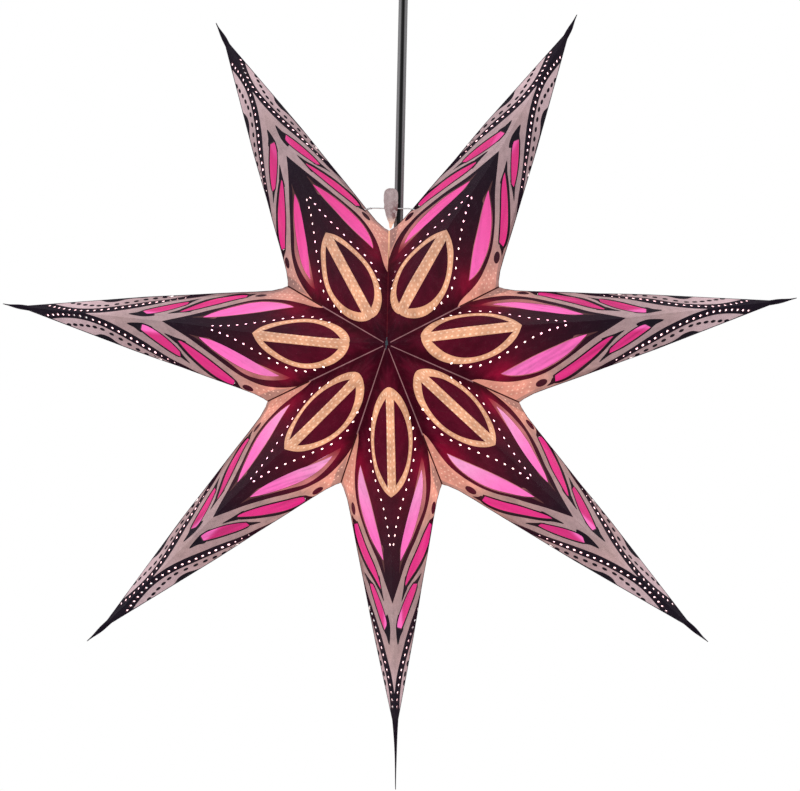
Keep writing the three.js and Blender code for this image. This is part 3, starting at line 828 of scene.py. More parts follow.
def inside_polygon(points, polygon):
    """Which of the points lie inside a closed polygon."""
    ring = np.array(polygon, float)
    x, y = points[:, 0], points[:, 1]
    crossed = np.zeros(len(points), bool)
    ax, ay = ring[:, 0], ring[:, 1]
    bx, by = np.roll(ax, -1), np.roll(ay, -1)
    for x0, y0, x1, y1 in zip(ax, ay, bx, by):
        if y0 == y1:
            continue
        hit = ((y0 > y) != (y1 > y)) & (x < (x1 - x0) * (y - y0) / (y1 - y0) + x0)
        crossed ^= hit
    return crossed


def triangulated(points, edges, output):
    """Flat points and triangles that hold the given edges."""
    verts = [Vector((float(x), float(y))) for x, y in points]
    got = geometry.delaunay_2d_cdt(verts, edges, [], output, 1e-4)
    return np.array([tuple(v) for v in got[0]], float), np.array(got[2], int)


def open_edges(tris):
    """The edges that only one triangle has, in that triangle's own direction."""
    found = {}
    for a, b, c in tris:
        for edge in ((int(a), int(b)), (int(b), int(c)), (int(c), int(a))):
            if edge[::-1] in found:
                del found[edge[::-1]]
            else:
                found[edge] = True
    return found


def flat_sheet(index, kind):
    """One printed, cut and punched panel in the flat: its points, triangles, inks and rims."""
    ridge = ridge_of(index)
    outline = fold_outline(ridge, kind)
    layers = print_layers(kind, ridge, index)
    cuts = [kept_inside(petal_ring(*sides), ridge, kind, PETAL_GAP) for sides in PETALS[kind]]
    cuts += [oval(p, across, across, 0, 12) for p, across in punch_places(kind, ridge, index)]
    verts, edges = [], []
    for ring in [outline] + [polygon for _, polygon in layers] + cuts:
        first = len(verts)
        verts.extend(ring)
        edges.extend((first + k, first + (k + 1) % len(ring)) for k in range(len(ring)))
    for x in np.arange(4, ridge, 6.5):
        top = NOTCH_Y * x / NOTCH_X if x < NOTCH_X else side_line(x, ridge, kind)
        verts.extend((x, y) for y in np.arange(3.2, top - 1.5, 6.5))
    points, tris = triangulated(verts, edges, 0)
    middles = points[tris].mean(1)
    keep = inside_polygon(middles, outline)
    for cut in cuts:
        keep &= ~inside_polygon(middles, cut)
    a, b, c = points[tris[:, 0]], points[tris[:, 1]], points[tris[:, 2]]
    area = (b[:, 0] - a[:, 0]) * (c[:, 1] - a[:, 1]) - (b[:, 1] - a[:, 1]) * (c[:, 0] - a[:, 0])
    keep &= np.abs(area) > 1e-6
    tris[area < 0] = tris[area < 0][:, ::-1]
    tris, middles = tris[keep], middles[keep]
    names = list(INKS)
    ink = np.full(len(tris), names.index("plum"))
    for name, polygon in layers:
        ink[inside_polygon(middles, polygon)] = names.index(name)
    used = np.unique(tris)
    place = np.full(len(points), -1)
    place[used] = np.arange(len(used))
    points, tris = points[used], place[tris]
    seam = np.abs(points[:, 1] - points[:, 0] * NOTCH_Y / NOTCH_X) < 1e-2
    on_fold = (np.abs(points[:, 1]) < 1e-3) | (seam & (points[:, 0] < NOTCH_X + 0.01))
    lines = np.array([side_line(x, ridge, kind) for x in points[:, 0]])
    on_fold |= (points[:, 0] > NOTCH_X - 0.01) & (np.abs(points[:, 1] - lines) < 0.2)
    rims = [e for e in open_edges(tris) if not (on_fold[e[0]] and on_fold[e[1]])]
    return {"points": points, "tris": tris, "ink": ink, "rims": rims}


SHEETS = {(index, kind): flat_sheet(index, kind)
          for index in range(ARM_COUNT) for kind in SIDES}


def arm_facts(index):
    turn, reach, needle, _, _, bow = ARMS[index]
    heading = even_turn(index) + turn
    tip = in_plane(heading, reach)
    return {
        "tip": tip, "end": in_plane(heading, reach - needle), "bow": bow, "seed": index * 3.1,
        "before": notch_after(index - 1), "after": notch_after(index),
        "ridge": ridge_of(index),
        "across": in_plane(heading + 90, 1.0).normalized(),
        "along": in_plane(heading, 1.0).normalized(),
    }


def smoothstep(low, high, value):
    t = np.clip((value - low) / (high - low), 0, 1)
    return t * t * (3 - 2 * t)


def panel_corners(facts, side, face, inset):
    """One panel's apex, end, notch and outward normal, moved inside by an inset in metres."""
    apex = Vector((0, face * APEX_DEPTH, 0))
    end, notch = facts["end"], facts[side]
    normal = (end - apex).cross(notch - apex).normalized()
    if normal.y * face < 0:
        normal.negate()
    if inset:
        inward = notch.normalized()
        depth = abs(normal.dot(Vector((0, 1, 0))))
        reach = abs(normal.dot(facts["along"]))
        apex = apex - Vector((0, face, 0)) * inset / depth
        end = end - facts["along"] * inset / reach
        notch = notch - inward * inset / max(abs(normal.dot(inward)), 0.2)
    return apex, end, notch, normal


def on_panel(points, facts, side, face, inset=0.0):
    """Flat points in mm carried onto a panel, with its bowed ridge, dipped side fold and dents."""
    apex, end, notch, normal = panel_corners(facts, side, face, inset * MM)
    ridge = facts["ridge"]
    along = (end - apex) / ridge
    across = (notch - apex - along * NOTCH_X) / NOTCH_Y
    x, y = points[:, 0], points[:, 1]
    places = (np.array(apex)[None] + x[:, None] * np.array(along)[None]
              + y[:, None] * np.array(across)[None])
    top = np.where(x < NOTCH_X, NOTCH_Y * x / NOTCH_X,
                   [side_line(v, ridge, side) for v in x])
    share = np.clip(y / np.maximum(top, 1e-6), 0, 1)
    bow = facts["bow"] * MM * smoothstep(0, 55, x) * smoothstep(190, 60, x) * (1 - share)
    places += bow[:, None] * np.array(facts["across"])[None]
    dipped = np.interp(x, DIP_X, [0, 1, 1, 1, 1, 1, 1, 1, 0], right=0)
    places[:, 1] *= 1 - smoothstep(14, 0, top - y) * (x > NOTCH_X) * dipped
    swell = np.sin(math.pi * share) * np.sin(math.pi * np.clip(x / ridge, 0, 1)) ** 0.6
    waves = np.array([noise.noise((px * 0.028, py * 0.05, facts["seed"])) for px, py in points])
    places += (swell * waves * DENTS * MM)[:, None] * np.array(normal)[None]
    return places + np.array(CENTRE)[None]


def stored(mesh, name, values, domain="POINT"):
    """A number at each point or corner, for a material or a tree to read."""
    layer = mesh.attributes.new(name, "FLOAT", domain)
    layer.data.foreach_set("value", np.array(values, np.float32))


def store_inks(mesh, day, lit, density):
    """The three values that the printed paper's material reads at each corner."""
    for name, values in (("ink_day", day), ("ink_lit", lit)):
        layer = mesh.attributes.new(name, "FLOAT_COLOR", "CORNER")
        full = np.ones((len(values), 4), np.float32)
        full[:, :3] = values
        layer.data.foreach_set("color", full.ravel())
    stored(mesh, "ink_density", density, "CORNER")


def inked(sheet, open_seam):
    """Each corner's daylight colour, lit colour and density."""
    names = list(INKS)
    table_day = np.array([INKS[n][0] for n in names])
    table_lit = np.array([INKS[n][1] for n in names])
    table_density = np.array([INKS[n][2] for n in names])
    ink = sheet["ink"].copy()
    # Where the seam stands open, its line is painted with the lamp's light glowing through the gap
    # near the notch, and dim further in
    if open_seam:
        bright = sheet["points"][sheet["tris"]].mean(1)[:, 0] > 94
        for name in ("seam_light", "seam_dark"):
            ink[(ink == names.index(name)) & ~bright] = names.index("seam_dim")
            ink[(ink == names.index(name)) & bright] = names.index("seam_open_glow")
    per = np.repeat(ink, 3)
    corners = sheet["points"][sheet["tris"].ravel()]
    day, lit, density = table_day[per].copy(), table_lit[per].copy(), table_density[per].copy()
    plum = per == names.index("plum")
    # a painted spot of lamp light: the plum's lit colour turns redder round a point by the inner
    # petal's start
    lamp_hot_spot = 1.6 * np.exp(-((corners[:, 0] - 96) ** 2 + (corners[:, 1] - 47) ** 2) / 130)
    lit[plum, 0] *= 1 + lamp_hot_spot[plum]
    lit[plum, 2] *= 1 + 0.5 * lamp_hot_spot[plum]
    # painted shade of the glued lap behind each seam: in a strip along the seam the lamp's light is
    # dimmed, by half on the plum
    from_seam = (corners[:, 0] * NOTCH_Y - corners[:, 1] * NOTCH_X) / math.hypot(NOTCH_X, NOTCH_Y)
    flap_shade = 1 - smoothstep(SEAM_FLAP - 1.0, SEAM_FLAP + 1.5, from_seam)
    lit *= (1 - flap_shade * np.where(plum, 0.5, 0.16))[:, None]
    # painted light: round the open notch the inks let more of the lamp's light through, so the
    # paper glows brighter there
    if open_seam:
        notch = 1 - smoothstep(14, 40, np.hypot(corners[:, 0] - NOTCH_X, corners[:, 1] - NOTCH_Y))
        density[~plum] -= 1.1 * notch[~plum]
    cream = per == names.index("cream")
    ridge_glow = np.exp(-((corners[:, 0] - 222) / 24) ** 2 - (corners[:, 1] / 15) ** 2)
    density[cream] += (1.0 - density[cream]) * ridge_glow[cream]
    lit[cream] += (np.array((0.46, 0.27, 0.22)) - lit[cream]) * ridge_glow[cream][:, None]
    day[cream] *= 1 + 0.65 * smoothstep(200, 262, corners[:, 0])[cream][:, None]
    between = smoothstep(118, 150, corners[:, 0]) * (1 - smoothstep(195, 230, corners[:, 0]))
    lit[cream] *= 1 - between[cream][:, None] * np.array((0.42, 0.25, 0.16))
    day[cream] *= 1 + 0.2 * between[cream][:, None]
    rim = per == names.index("rim")
    start = smoothstep(89, 112, corners[:, 0])[rim][:, None]
    lit[rim] = lit[rim] * start + np.array((0.30, 0.01, 0.03)) * (1 - start)
    day[rim] = day[rim] * start + np.array((0.06, 0.01, 0.015)) * (1 - start)
    last = smoothstep(143, 154, corners[:, 0])[rim][:, None]
    lit[rim] *= 1 - 0.75 * last
    day[rim] *= 1 - 0.80 * last
    return day, lit, density


def panels(index):
    """Each panel of an arm: the arm's facts, its face's name and side, and if it is mirrored."""
    facts = arm_facts(index)
    for face_name, face in FACES.items():
        for side in SIDES:
            yield facts, face_name, face, side, (side == "after") == (face < 0)


# The panels on either side of the notch that the closing wire leaves open
OPEN_SEAMS = ((3, "after"), (4, "before"))


def arm_mesh(index):
    verts, faces, kinds, day, lit, density = [], [], [], [], [], []
    for facts, _, face, side, flip in panels(index):
        sheet = SHEETS[(index, side)]
        points, tris = sheet["points"], sheet["tris"]
        base, count = len(verts), len(points)
        verts.extend(on_panel(points, facts, side, face))
        verts.extend(on_panel(points, facts, side, face, SHEET))
        order = [0, 2, 1] if flip else [0, 1, 2]
        faces.extend((tris[:, order] + base).tolist())
        for store, values in zip((day, lit, density), inked(sheet, (index, side) in OPEN_SEAMS)):
            store.append(values.reshape(len(tris), 3, -1)[:, order].reshape(len(tris) * 3, -1))
        faces.extend((tris[:, order[::-1]] + base + count).tolist())
        for a, b in sheet["rims"]:
            quad = (a + base, a + base + count, b + base + count, b + base)
            faces.append(quad[::-1] if flip else quad)
        kinds.extend([0] * len(tris) + [1] * len(tris) + [2] * len(sheet["rims"]))
    mesh = mesh_from(f"arm_{index + 1}_paper", verts, faces)
    mesh.polygons.foreach_set("material_index", np.array(kinds, np.int32))
    loops = len(mesh.loops)
    full_day, full_lit = np.full((loops, 3), 0.4), np.full((loops, 3), 0.4)
    full_density = np.ones(loops)
    starts = np.array([p.loop_start for p in mesh.polygons])
    printed = np.array(kinds) == 0
    where = (starts[printed][:, None] + np.arange(3)[None]).ravel()
    full_day[where] = np.concatenate(day)
    full_lit[where] = np.concatenate(lit)
    full_density[where] = np.concatenate(density)[:, 0]
    store_inks(mesh, full_day, full_lit, full_density)
    return mesh


def needle_mesh(index):
    """The pinched and twisted tip, a thin cone with a slight curl."""
    facts = arm_facts(index)
    length = ARMS[index][2] + 11
    steps = 14
    path, radii = [], []
    for k in range(steps + 1):
        t = k / steps
        curl = math.sin(t * 5 + index) * 0.25 * t * MM
        path.append(CENTRE + facts["tip"] - facts["along"] * length * MM * (1 - t)
                    + facts["across"] * curl)
        if ARMS[index][2] > 20:
            radii.append((0.3 + 1.3 * (1 - t) ** 3 + 0.7 * (1 - t)) * MM)
        else:
            radii.append(float(np.interp(t, [0, 0.35, 0.5, 0.8, 1],
                                         [2.0, 1.95, 1.65, 0.6, 0.28])) * MM)
    mesh = swept(f"arm_{index + 1}_needle", path, radii, 10)
    loops = len(mesh.loops)
    day, lit, _ = INKS["outline"]
    store_inks(mesh, np.tile(day, (loops, 1)), np.tile(lit, (loops, 1)), np.full(loops, 2.0))
    return mesh


def join_meshes(target, *others):
    """One mesh from several, whose polygons keep their material slot numbers."""
    work = bmesh.new()
    for mesh in (target, *others):
        work.from_mesh(mesh)
    work.to_mesh(target)
    work.free()
    return target


def hole_burrs(index):
    """The burr that the punch raised round every hole of an arm."""
    places, axes, sizes = [], [], []
    for facts, _, face, side, _ in panels(index):
        holes = punch_places(side, facts["ridge"], index)
        normal = np.array(panel_corners(facts, side, face, 0.0)[3])
        middles = on_panel(np.array([p for p, _ in holes]), facts, side, face)
        places.extend(middles + normal * 0.03 * MM)
        axes.extend([normal] * len(holes))
        sizes.extend(across / 2 for _, across in holes)
    return made_by(RINGS, places, {"Radius": 1.04 * MM, "Thickness": 0.09 * MM, "Sides": 12,
                                   "Uneven": 0.03, "Seed": 7 + index, "Material": EDGE},
                   axes, sizes)


def add_arms():
    for index in range(ARM_COUNT):
        mesh = arm_mesh(index)
        join_meshes(mesh, needle_mesh(index), moved_mesh(hole_burrs(index), Matrix(), 2))
        piece(f"arm_{index + 1}_folded", mesh, [PAPER, INSIDE, EDGE],
              [f"arm_{index + 1}"])


# ---------------------------------------------------------------- the tissue
TISSUE_OUTLINE = [(91, 45), (104, 38), (118, 28), (136, 12), (158, 9.5), (180, 14), (196, 3.2),
                  (208.5, 3.2), (213.5, 13), (184, 46.5), (146, 69), (138.5, 69), (134, 60.5),
                  (112, 58.5), (93, 55)]
TISSUE_DEPTH = 0.48
TISSUE_SHEET = 0.12
TISSUE_GAP = 1.25
CREASED_ARMS = (2, 6)


def tissue_flat(ridge, kind):
    ring = kept_inside(smooth(TISSUE_OUTLINE, True, 5.0), ridge, kind, TISSUE_GAP)
    edges = [(k, (k + 1) % len(ring)) for k in range(len(ring))]
    xs, ys = np.meshgrid(np.arange(90, 214, 2.5), np.arange(3, 68, 2.5))
    grid = np.stack([xs.ravel(), ys.ravel()], 1)
    grid = grid[inside_polygon(grid, grown(ring, -1.0))]
    points, tris = triangulated([*ring, *grid], edges, 1)
    return points, [tuple(t) for t in tris.tolist()]


def crease_field(points, strong, seed):
    """Long soft creases across the tissue, from 0 to 1."""
    waves = [noise.noise(((x * 0.75 - y * 0.66) * 0.012 + seed, (x * 0.66 + y * 0.75) * 0.16,
                          seed * 1.7)) for x, y in points]
    return np.maximum(0.0, 1 - np.abs(waves) * 5) * strong


# How washed out the inner petals are on each arm, at their far and near ends
PETAL_WASH = [(0.50, 0.80), (0.52, 0.86), (0.46, 0.56), (0.22, 0.40), (0.10, 0.30), (0.48, 0.60),
              (0.48, 0.82)]


def lamp_wash(points, index):
    """How far the lamp washes out the tissue's dye: most at the near end of each inner petal."""
    x, y = points[:, 0], points[:, 1]
    edge = np.interp(x, [96, 120, 132, 150, 162], [70, 62, 56, 33, 15])
    inner = 1 - smoothstep(-1.5, 1.5, y - edge)
    start = 1 - smoothstep(98, 150, x)
    far, near = PETAL_WASH[index]
    return inner * (far + (near - far) * start)


def add_tissue():
    flats = {(ridge, side): tissue_flat(ridge, side)
             for ridge in (SHORT_RIDGE, LONG_RIDGE) for side in SIDES}
    for index in range(ARM_COUNT):
        for facts, face_name, face, side, flip in panels(index):
            points, tris = flats[(facts["ridge"], side)]
            seed = index * 5.3 + (side == "after") * 2.2 + face
            crease = crease_field(points, 1.0 if index in CREASED_ARMS else 0.45, seed)
            paper = on_panel(points, facts, side, face)
            normal = np.array(panel_corners(facts, side, face, 0.0)[3])
            # Near the side folds the two faces meet, so the tissue lies nearer to its paper
            room = np.clip(np.abs(paper[:, 1] - CENTRE.y) / (1.4 * MM), 0.3, 1)
            depth = (TISSUE_DEPTH - 0.10 * np.clip(crease, 0, 1)) * room
            top = paper - normal * (depth * MM)[:, None]
            low = top - normal * (TISSUE_SHEET * MM * room)[:, None]
            count = len(points)
            faces = []
            for a, b, c in tris:
                pair = (a, b, c), (a + count, c + count, b + count)
                faces.extend((t[0], t[2], t[1]) if flip else t for t in pair)
            for a, b in sorted(open_edges(tris)):
                quad = (a, a + count, b + count, b)
                faces.append(quad[::-1] if flip else quad)
            name = f"arm_{index + 1}_petals_{face_name}_{side}"
            mesh = mesh_from(name, np.concatenate([top, low]), faces, TISSUE_SMOOTH)
            slots = np.zeros(len(faces), np.int32)
            slots[1:2 * len(tris):2] = 1
            mesh.polygons.foreach_set("material_index", slots)
            stored(mesh, "crease", np.tile(crease, 2))
            stored(mesh, "wash", np.tile(lamp_wash(points, index), 2))
            piece(name, mesh, [TISSUE, TISSUE_BACK],
                  [f"arm_{index + 1}_tissue_{face_name}_{side}"])


# ---------------------------------------------------------------- the cord
CORD_RADIUS = 3.5 * MM
CORD_LEAN = 0.0213
CORD_TOP = -44.3 * MM
CORD_FOOT = -289.0 * MM


def cord_point(height):
    return Vector(((height - CORD_TOP) * CORD_LEAN, 0, height))


def glossy_skin():
    """Black cord skin with a painted grey sheen down each side: a reflection put into the base
    colour by how squarely the surface faces the view.
    """
    material, tree, shader = principled("cord_skin")
    streaks = noise_at(tree, 1.0, 3, (900, 900, 40))
    colour = mixed(tree, streaks, (0.002, 0.002, 0.002), (0.008, 0.008, 0.009))
    # painted reflection: the base colour turns grey where the surface turns away from the view,
    # standing in for the reflected room down the cord's sides
    facing = node(tree, "ShaderNodeLayerWeight", {"Blend": 0.5}).outputs["Facing"]
    sheen = times(tree, ranged(tree, facing, 0.05, 0.18, 0.0, 1.0, smooth=True),
                  ranged(tree, facing, 0.45, 0.75, 1.0, 0.25, smooth=True))
    feed(shader, {"Base Color": mixed(tree, sheen, colour, (0.19, 0.19, 0.195)),
                  "Roughness": ranged(tree, streaks, 0.3, 0.7, 0.10, 0.22),
                  "Specular IOR Level": 0.10, "Normal": bumped(tree, streaks, 0.15, 0.0002)})
    return material


def add_cord():
    steps = 26
    path = [cord_point(CORD_FOOT + (CORD_TOP - CORD_FOOT) * k / steps) for k in range(steps + 1)]
    mesh = swept("lamp_cord", path, [CORD_RADIUS] * len(path), 32)
    cord = piece("lamp_cord", mesh, [glossy_skin()], ["cord"])


# ---------------------------------------------------------------- the wire, tongue, knot and lamp
def worked(name, low, high, scale, rough, metal=0.0, stretch=(1, 1, 1), bump=0.15, specular=0.5):
    """A material whose colour, sheen and surface follow one noise at that scale per metre."""
    material, tree, shader = principled(name)
    grain = noise_at(tree, scale, 4, stretch)
    feed(shader, {"Base Color": mixed(tree, ranged(tree, grain, 0.35, 0.65, 0.0, 1.0), low, high),
                  "Roughness": ranged(tree, grain, 0.3, 0.7, *rough), "Metallic": metal,
                  "Specular IOR Level": specular, "Normal": bumped(tree, grain, bump, 0.0002)})
    return material


def tongue_paper():
    """Grey handmade paper, darker and redder in blots over its lower part and towards +X, with the
    lamp's light at its foot.
    """
    material, tree, shader = principled("tongue_paper")
    paper = use_group(tree, PAPER_FIBRE, Scale=2.2)
    base = mixed(tree, ranged(tree, paper.outputs["Pulp"], 0.35, 0.65, 0.0, 1.0),
                 (0.30, 0.24, 0.24), (0.52, 0.44, 0.44))
    x, _, z = node(tree, "ShaderNodeSeparateXYZ", {0: object_place(tree)}).outputs
    # Darker reddish blots over the lower part, more of them towards +X
    low = ranged(tree, z, TONGUE_Z + 0.024, TONGUE_Z + 0.012, 0.0, 1.0, smooth=True)
    side = ranged(tree, x, TONGUE_X - 0.001, TONGUE_X + 0.004, 0.25, 1.0)
    blot = ranged(tree, noise_at(tree, 420, 3), 0.42, 0.56, 0.0, 1.0, smooth=True)
    reddish_darkening = times(tree, times(tree, low, side), blot)
    foot = ranged(tree, z, TONGUE_Z + 0.010, TONGUE_Z, 0.0, 0.7, smooth=True)
    feed(shader, {"Base Color": mixed(tree, reddish_darkening, base, (0.13, 0.04, 0.045)),
                  "Emission Color": (1.0, 0.52, 0.28), "Emission Strength": foot,
                  "Roughness": 0.85, "Specular IOR Level": 0.1,
                  "Normal": bumped(tree, paper.outputs["Height"], 0.5, 0.0004)})
    return material


TONGUE_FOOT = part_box("closing_tongue")
TONGUE_Z = TONGUE_FOOT[0][2]
TONGUE_X = (TONGUE_FOOT[0][0] + TONGUE_FOOT[1][0]) / 2
TONGUE_ROWS = [(0.0, -1.9, -0.7), (2.5, -2.3, 0.3), (5.5, -3.2, 1.8), (9, -4.4, 3.0),
               (12.5, -5.4, 3.7), (17, -6.2, 4.2), (22, -6.4, 4.4), (26, -6.4, 4.4),
               (28.6, -5.9, 3.9), (30.2, -4.4, 2.5), (31, -2.4, 0.6)]


def tongue_mesh():
    """The paper tongue, hollowed along its length, with a wavering edge."""
    heights = [row[0] for row in TONGUE_ROWS]
    rows, columns = 46, 15
    front, back = [], []
    for i in range(rows):
        height = heights[-1] * i / (rows - 1)
        left = np.interp(height, heights, [row[1] for row in TONGUE_ROWS])
        right = np.interp(height, heights, [row[2] for row in TONGUE_ROWS])
        for k in range(columns):
            t = k / (columns - 1)
            edge = abs(2 * t - 1)
            ragged = noise.noise((height * 0.35, t * 2.0, 4.0)) * 0.3 * edge
            x = left + (right - left) * t + ragged
            hollow = (edge ** 2 - 0.4) * 0.55 * min(1.0, (right - left) / 6)
            ripple = noise.noise((x * 0.45, height * 0.22, 1.0)) * 0.5
            y = -1.9 - hollow + ripple * 0.5
            place = CENTRE + Vector((x, y, height)) * MM
            place.z = TONGUE_Z + height * MM
            front.append(place)
            back.append(place + Vector((0, 0.5, 0)) * MM)
    count = rows * columns
    faces = []
    for i in range(rows - 1):
        for k in range(columns - 1):
            a = i * columns + k
            faces.append((a, a + 1, a + columns + 1, a + columns))
            faces.append((a + count, a + columns + count, a + columns + 1 + count, a + 1 + count))
    ring = list(range(columns))
    ring += [i * columns + columns - 1 for i in range(1, rows)]
    ring += [(rows - 1) * columns + k for k in range(columns - 2, -1, -1)]
    ring += [i * columns for i in range(rows - 2, 0, -1)]
    for a, b in zip(ring, ring[1:] + ring[:1]):
        faces.append((b, a, a + count, b + count))
    return mesh_from("closing_tongue_curled", front + back, faces, TONGUE_SMOOTH, face_out=True)


WIRE_BENDS = [(-21, -0.6, 121.2), (-15.5, -0.6, 122.4), (-6, -0.5, 122.2), (4.8, -0.5, 121.9),
              (13, -0.6, 121.8), (18.5, -0.6, 120.6), (23.5, -0.6, 121.8)]


def wire_mesh():
    """The closing wire, with a few turns twisted round it at both ends."""
    path = [Vector(tuple(p)) for p in smooth(WIRE_BENDS, step=1.4)]
    placed = [CENTRE + p * MM for p in path]
    mesh = swept("closing_wire_bent", placed, [0.5 * MM] * len(placed), 10)
    twists = []
    for start, ahead in ((path[1], path[4]), (path[-5], path[-2])):
        coil = made_by(WOUND, [(0, 0, 0)], {
            "Turns": 3.5, "Start Radius": 0.72 * MM, "End Radius": 0.72 * MM,
            "Height": (ahead - start).length * MM, "Thickness": 0.24 * MM, "Material": STEEL})
        turn = (ahead - start).to_track_quat("Z", "Y").to_matrix().to_4x4()
        twists.append(moved_mesh(coil, Matrix.Translation(CENTRE + start * MM) @ turn))
    return join_meshes(mesh, *twists)


def knot_mesh():
    """The thread knot at the front apex: close turns and two short ends."""
    low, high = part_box("front_knot")
    middle = (Vector(low) + Vector(high)) / 2
    turns = made_by(WOUND, [(0, 0, 0)], {
        "Turns": 4.5, "Start Radius": 0.75 * MM, "End Radius": 0.6 * MM, "Height": 2.8 * MM,
        "Thickness": 0.34 * MM, "Material": THREAD})
    moved_mesh(turns, Matrix.Translation(middle - Vector((0, 0, 1.4 * MM))))
    core = [middle + Vector((0, 0, z)) * MM for z in (-1.5, -0.5, 0.5, 1.5)]
    tails = [[middle + Vector(p) * MM for p in ends] for ends in (
        ((0.1, 0, 1.2), (0.2, -0.2, 2.2), (-0.1, -0.3, 3.2), (0.3, -0.2, 4.2)),
        ((-0.1, 0, -1.2), (-0.4, -0.2, -2.4), (-0.3, -0.4, -3.6), (-0.9, -0.3, -4.8)))]
    return join_meshes(turns, swept("knot_core", core, [0.7 * MM] * 4, 10),
                       *[swept("knot_tail", t, [0.34 * MM, 0.36 * MM, 0.32 * MM, 0.28 * MM], 8)
                         for t in tails])


def bulb_glow():
    """An opal bulb that is lit, a little brighter in the middle of the globe."""
    material, tree, shader = principled("opal_bulb")
    grain = noise_at(tree, 900, 3)
    facing = node(tree, "ShaderNodeLayerWeight", {"Blend": 0.4}).outputs["Facing"]
    feed(shader, {"Base Color": (0.9, 0.84, 0.74),
                  "Emission Color": mixed(tree, ranged(tree, grain, 0.4, 0.6, 0.0, 1.0),
                                          (1.0, 0.80, 0.52), (1.0, 0.86, 0.62)),
                  "Emission Strength": ranged(tree, facing, 0.0, 1.0, 3.0, 1.2),
                  "Roughness": ranged(tree, grain, 0.3, 0.7, 0.25, 0.4)})
    return material


BLACK = worked("black_moulding", (0.008, 0.008, 0.009), (0.020, 0.020, 0.022), 700, (0.35, 0.5),
               specular=0.3)
WHITE = worked("white_moulding", (0.70, 0.69, 0.66), (0.80, 0.79, 0.76), 500, (0.35, 0.5), bump=0.1)
STEEL = worked("drawn_steel", (0.40, 0.41, 0.42), (0.62, 0.63, 0.64), 900, (0.25, 0.45), 0.9,
               (1, 1, 0.1))
BRASS = worked("rolled_brass", (0.50, 0.34, 0.13), (0.68, 0.48, 0.20), 800, (0.2, 0.4), 0.95)
THREAD = worked("slate_thread", (0.010, 0.016, 0.022), (0.075, 0.105, 0.125), 1500, (0.6, 0.8),
                stretch=(1, 1, 2.5), bump=0.6, specular=0.15)

LAMP_AT = Vector((cord_point(CORD_FOOT).x, 0.0, CENTRE.z))


def add_ringed(name, profile, place, rings, thickness, material, replaced):
    """A turned piece with moulded rings round it, at (radius, height) places."""
    mesh = turned(name, profile, place)
    made = [mesh]
    for radius, height in rings:
        spot = (place[0], place[1], place[2] + height * MM)
        made.append(made_by(RINGS, [spot], {
            "Radius": radius * MM, "Thickness": thickness * MM, "Sides": 64, "Uneven": 0.0,
            "Seed": 1, "Material": material}, [(0, 0, 1)], [1.0]))
    piece(name, join_meshes(*made), [material], [replaced])


def add_lamp():
    """The bulb and its holder, at heights in mm from the star's middle."""
    globe = [(22.5 * math.cos(math.radians(a)), -38 + 22.5 * math.sin(math.radians(a)))
             for a in range(56, -90, -5)]
    base = [(0, 20.4), (2.6, 20.2), (3.2, 18.6), (6.4, 17.6)]
    thread = [(6.9 if k % 2 == 0 else 6.3, 16.6 - k * 1.1) for k in range(18)]
    neck = [(6.9, -4.2), (7.4, -6.5), (8.6, -9.6), (10.4, -13.6)]
    bulb = turned("bulb_opal", base + thread + neck + globe + [(0, -60.5)], LAMP_AT, 96)
    piece("bulb_opal", bulb, [bulb_glow()], ["bulb"])
    add_ringed("holder_sleeve", [
        (0, 29.6), (13.4, 29.6), (14.2, 28.8), (14.2, 17.2), (13.2, 16), (13.2, -4.4), (12.3, -6),
        (8.4, -6), (7.8, -5.4), (7.8, 22), (0, 22)], LAMP_AT,
        [(13.2, h) for h in np.arange(-2, 15, 2.4)], 0.4, BLACK, "holder_body")
    add_ringed("holder_shoulder", [
        (4.9, 43.3), (4.9, 41.4), (10.8, 40.2), (12.4, 38), (12.4, 30), (14.2, 30.1), (14.2, 38.2),
        (13.6, 40), (12.2, 41.8), (9.6, 42.9)], LAMP_AT, [(14.1, 32.2), (14.1, 34.6)], 0.35, BLACK,
        "holder_cap")
    add_ringed("holder_strain_relief", [
        (0, 38), (4.5, 38), (4.5, 43.7), (6.2, 43.9), (6.4, 44.4), (6.3, 46), (5.9, 47),
        (4.5, 55.2), (3.9, 55.6), (0, 55.6)], LAMP_AT,
        [(5.7, 48), (5.35, 50), (5.0, 52)], 0.45, BLACK, "holder_grip")


def add_ties():
    piece("closing_tongue_curled", tongue_mesh(), [tongue_paper()],
          ["closing_tongue"])
    piece("closing_wire_bent", wire_mesh(), [STEEL], ["closing_wire"])
    piece("front_knot_wound", knot_mesh(), [THREAD], ["front_knot"])


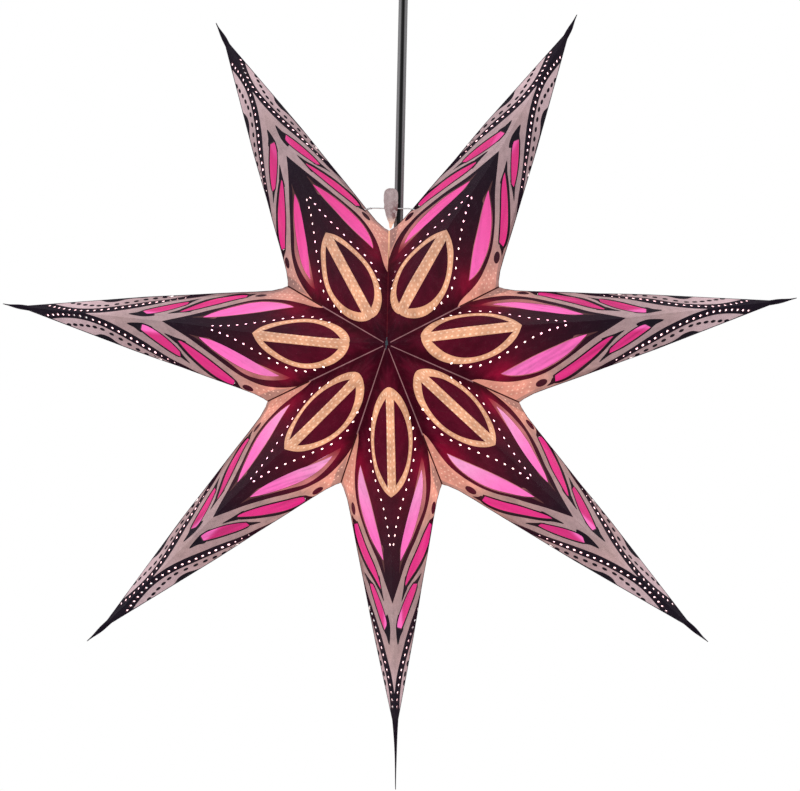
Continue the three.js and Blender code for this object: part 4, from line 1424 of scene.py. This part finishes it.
def add_rose():
    """The rose's cup and grip made finer; its plate, nut and screws stay as in CAD."""
    origin = Vector((0, 0, 0))
    add_ringed("rose_shell", [
        (44.4, 0), (45, -0.8), (45, -22), (44.4, -25), (42.6, -27.6), (39.6, -30.2), (35, -32),
        (29, -33.1), (16, -33.8), (6.6, -34), (6, -33.4), (6, -32.3), (29, -31.2), (36, -29.8),
        (40.8, -26.4), (43.2, -21.5), (43.2, 0)], origin, [(44.9, -3.4)], 0.4, WHITE,
        "rose_cup")
    add_ringed("rose_strain_relief", [
        (0, -28), (5.6, -28), (5.6, -34.4), (8.6, -34.4), (9, -34.8), (9, -36.6), (7.7, -39.4),
        (5.2, -43.6), (4.4, -44), (0, -44)], origin, [(7.5, -39.6), (6.7, -41.2)], 0.4, WHITE,
        "rose_grip")
    kept = {"rose_plate": STEEL, "rose_nut": WHITE, "rose_screw_left": STEEL,
            "rose_screw_right": STEEL, "centre_contact": BRASS}
    for name, material in kept.items():
        NODES[name].material_slots[0].material = material


# ---------------------------------------------------------------- stage
FLOOR_HALF, FLOOR_Z = 4, -1.3
KEY_WATTS, KEY_SIZE, KEY_AT = 14, 1.6, (-0.7, -1.5, 1.1)


def add_stage():
    scene = bpy.context.scene
    scene.view_settings.view_transform = "Standard"
    world = bpy.data.worlds.new("white_room")
    world.use_nodes = True
    feed(world.node_tree.nodes["Background"], {0: (1, 1, 1), 1: 1.0})
    scene.world = world
    corners = [(x * FLOOR_HALF, y * FLOOR_HALF, FLOOR_Z)
               for x, y in ((-1, -1), (1, -1), (1, 1), (-1, 1))]
    floor = link("floor", mesh_from("floor", corners, [(0, 1, 2, 3)]))
    material, _, shader = principled("pale_floor")
    feed(shader, {"Base Color": (0.85, 0.85, 0.85)})
    floor.data.materials.append(material)
    light = bpy.data.lights.new("soft_key", "AREA")
    light.energy = KEY_WATTS
    light.size = KEY_SIZE
    lamp = link("soft_key", light)
    lamp.location = KEY_AT
    lamp.rotation_euler = (CENTRE - lamp.location).to_track_quat("-Z", "Y").to_euler()


add_camera()
add_stage()
add_arms()
add_tissue()
add_ties()
add_lamp()
add_rose()
add_cord()
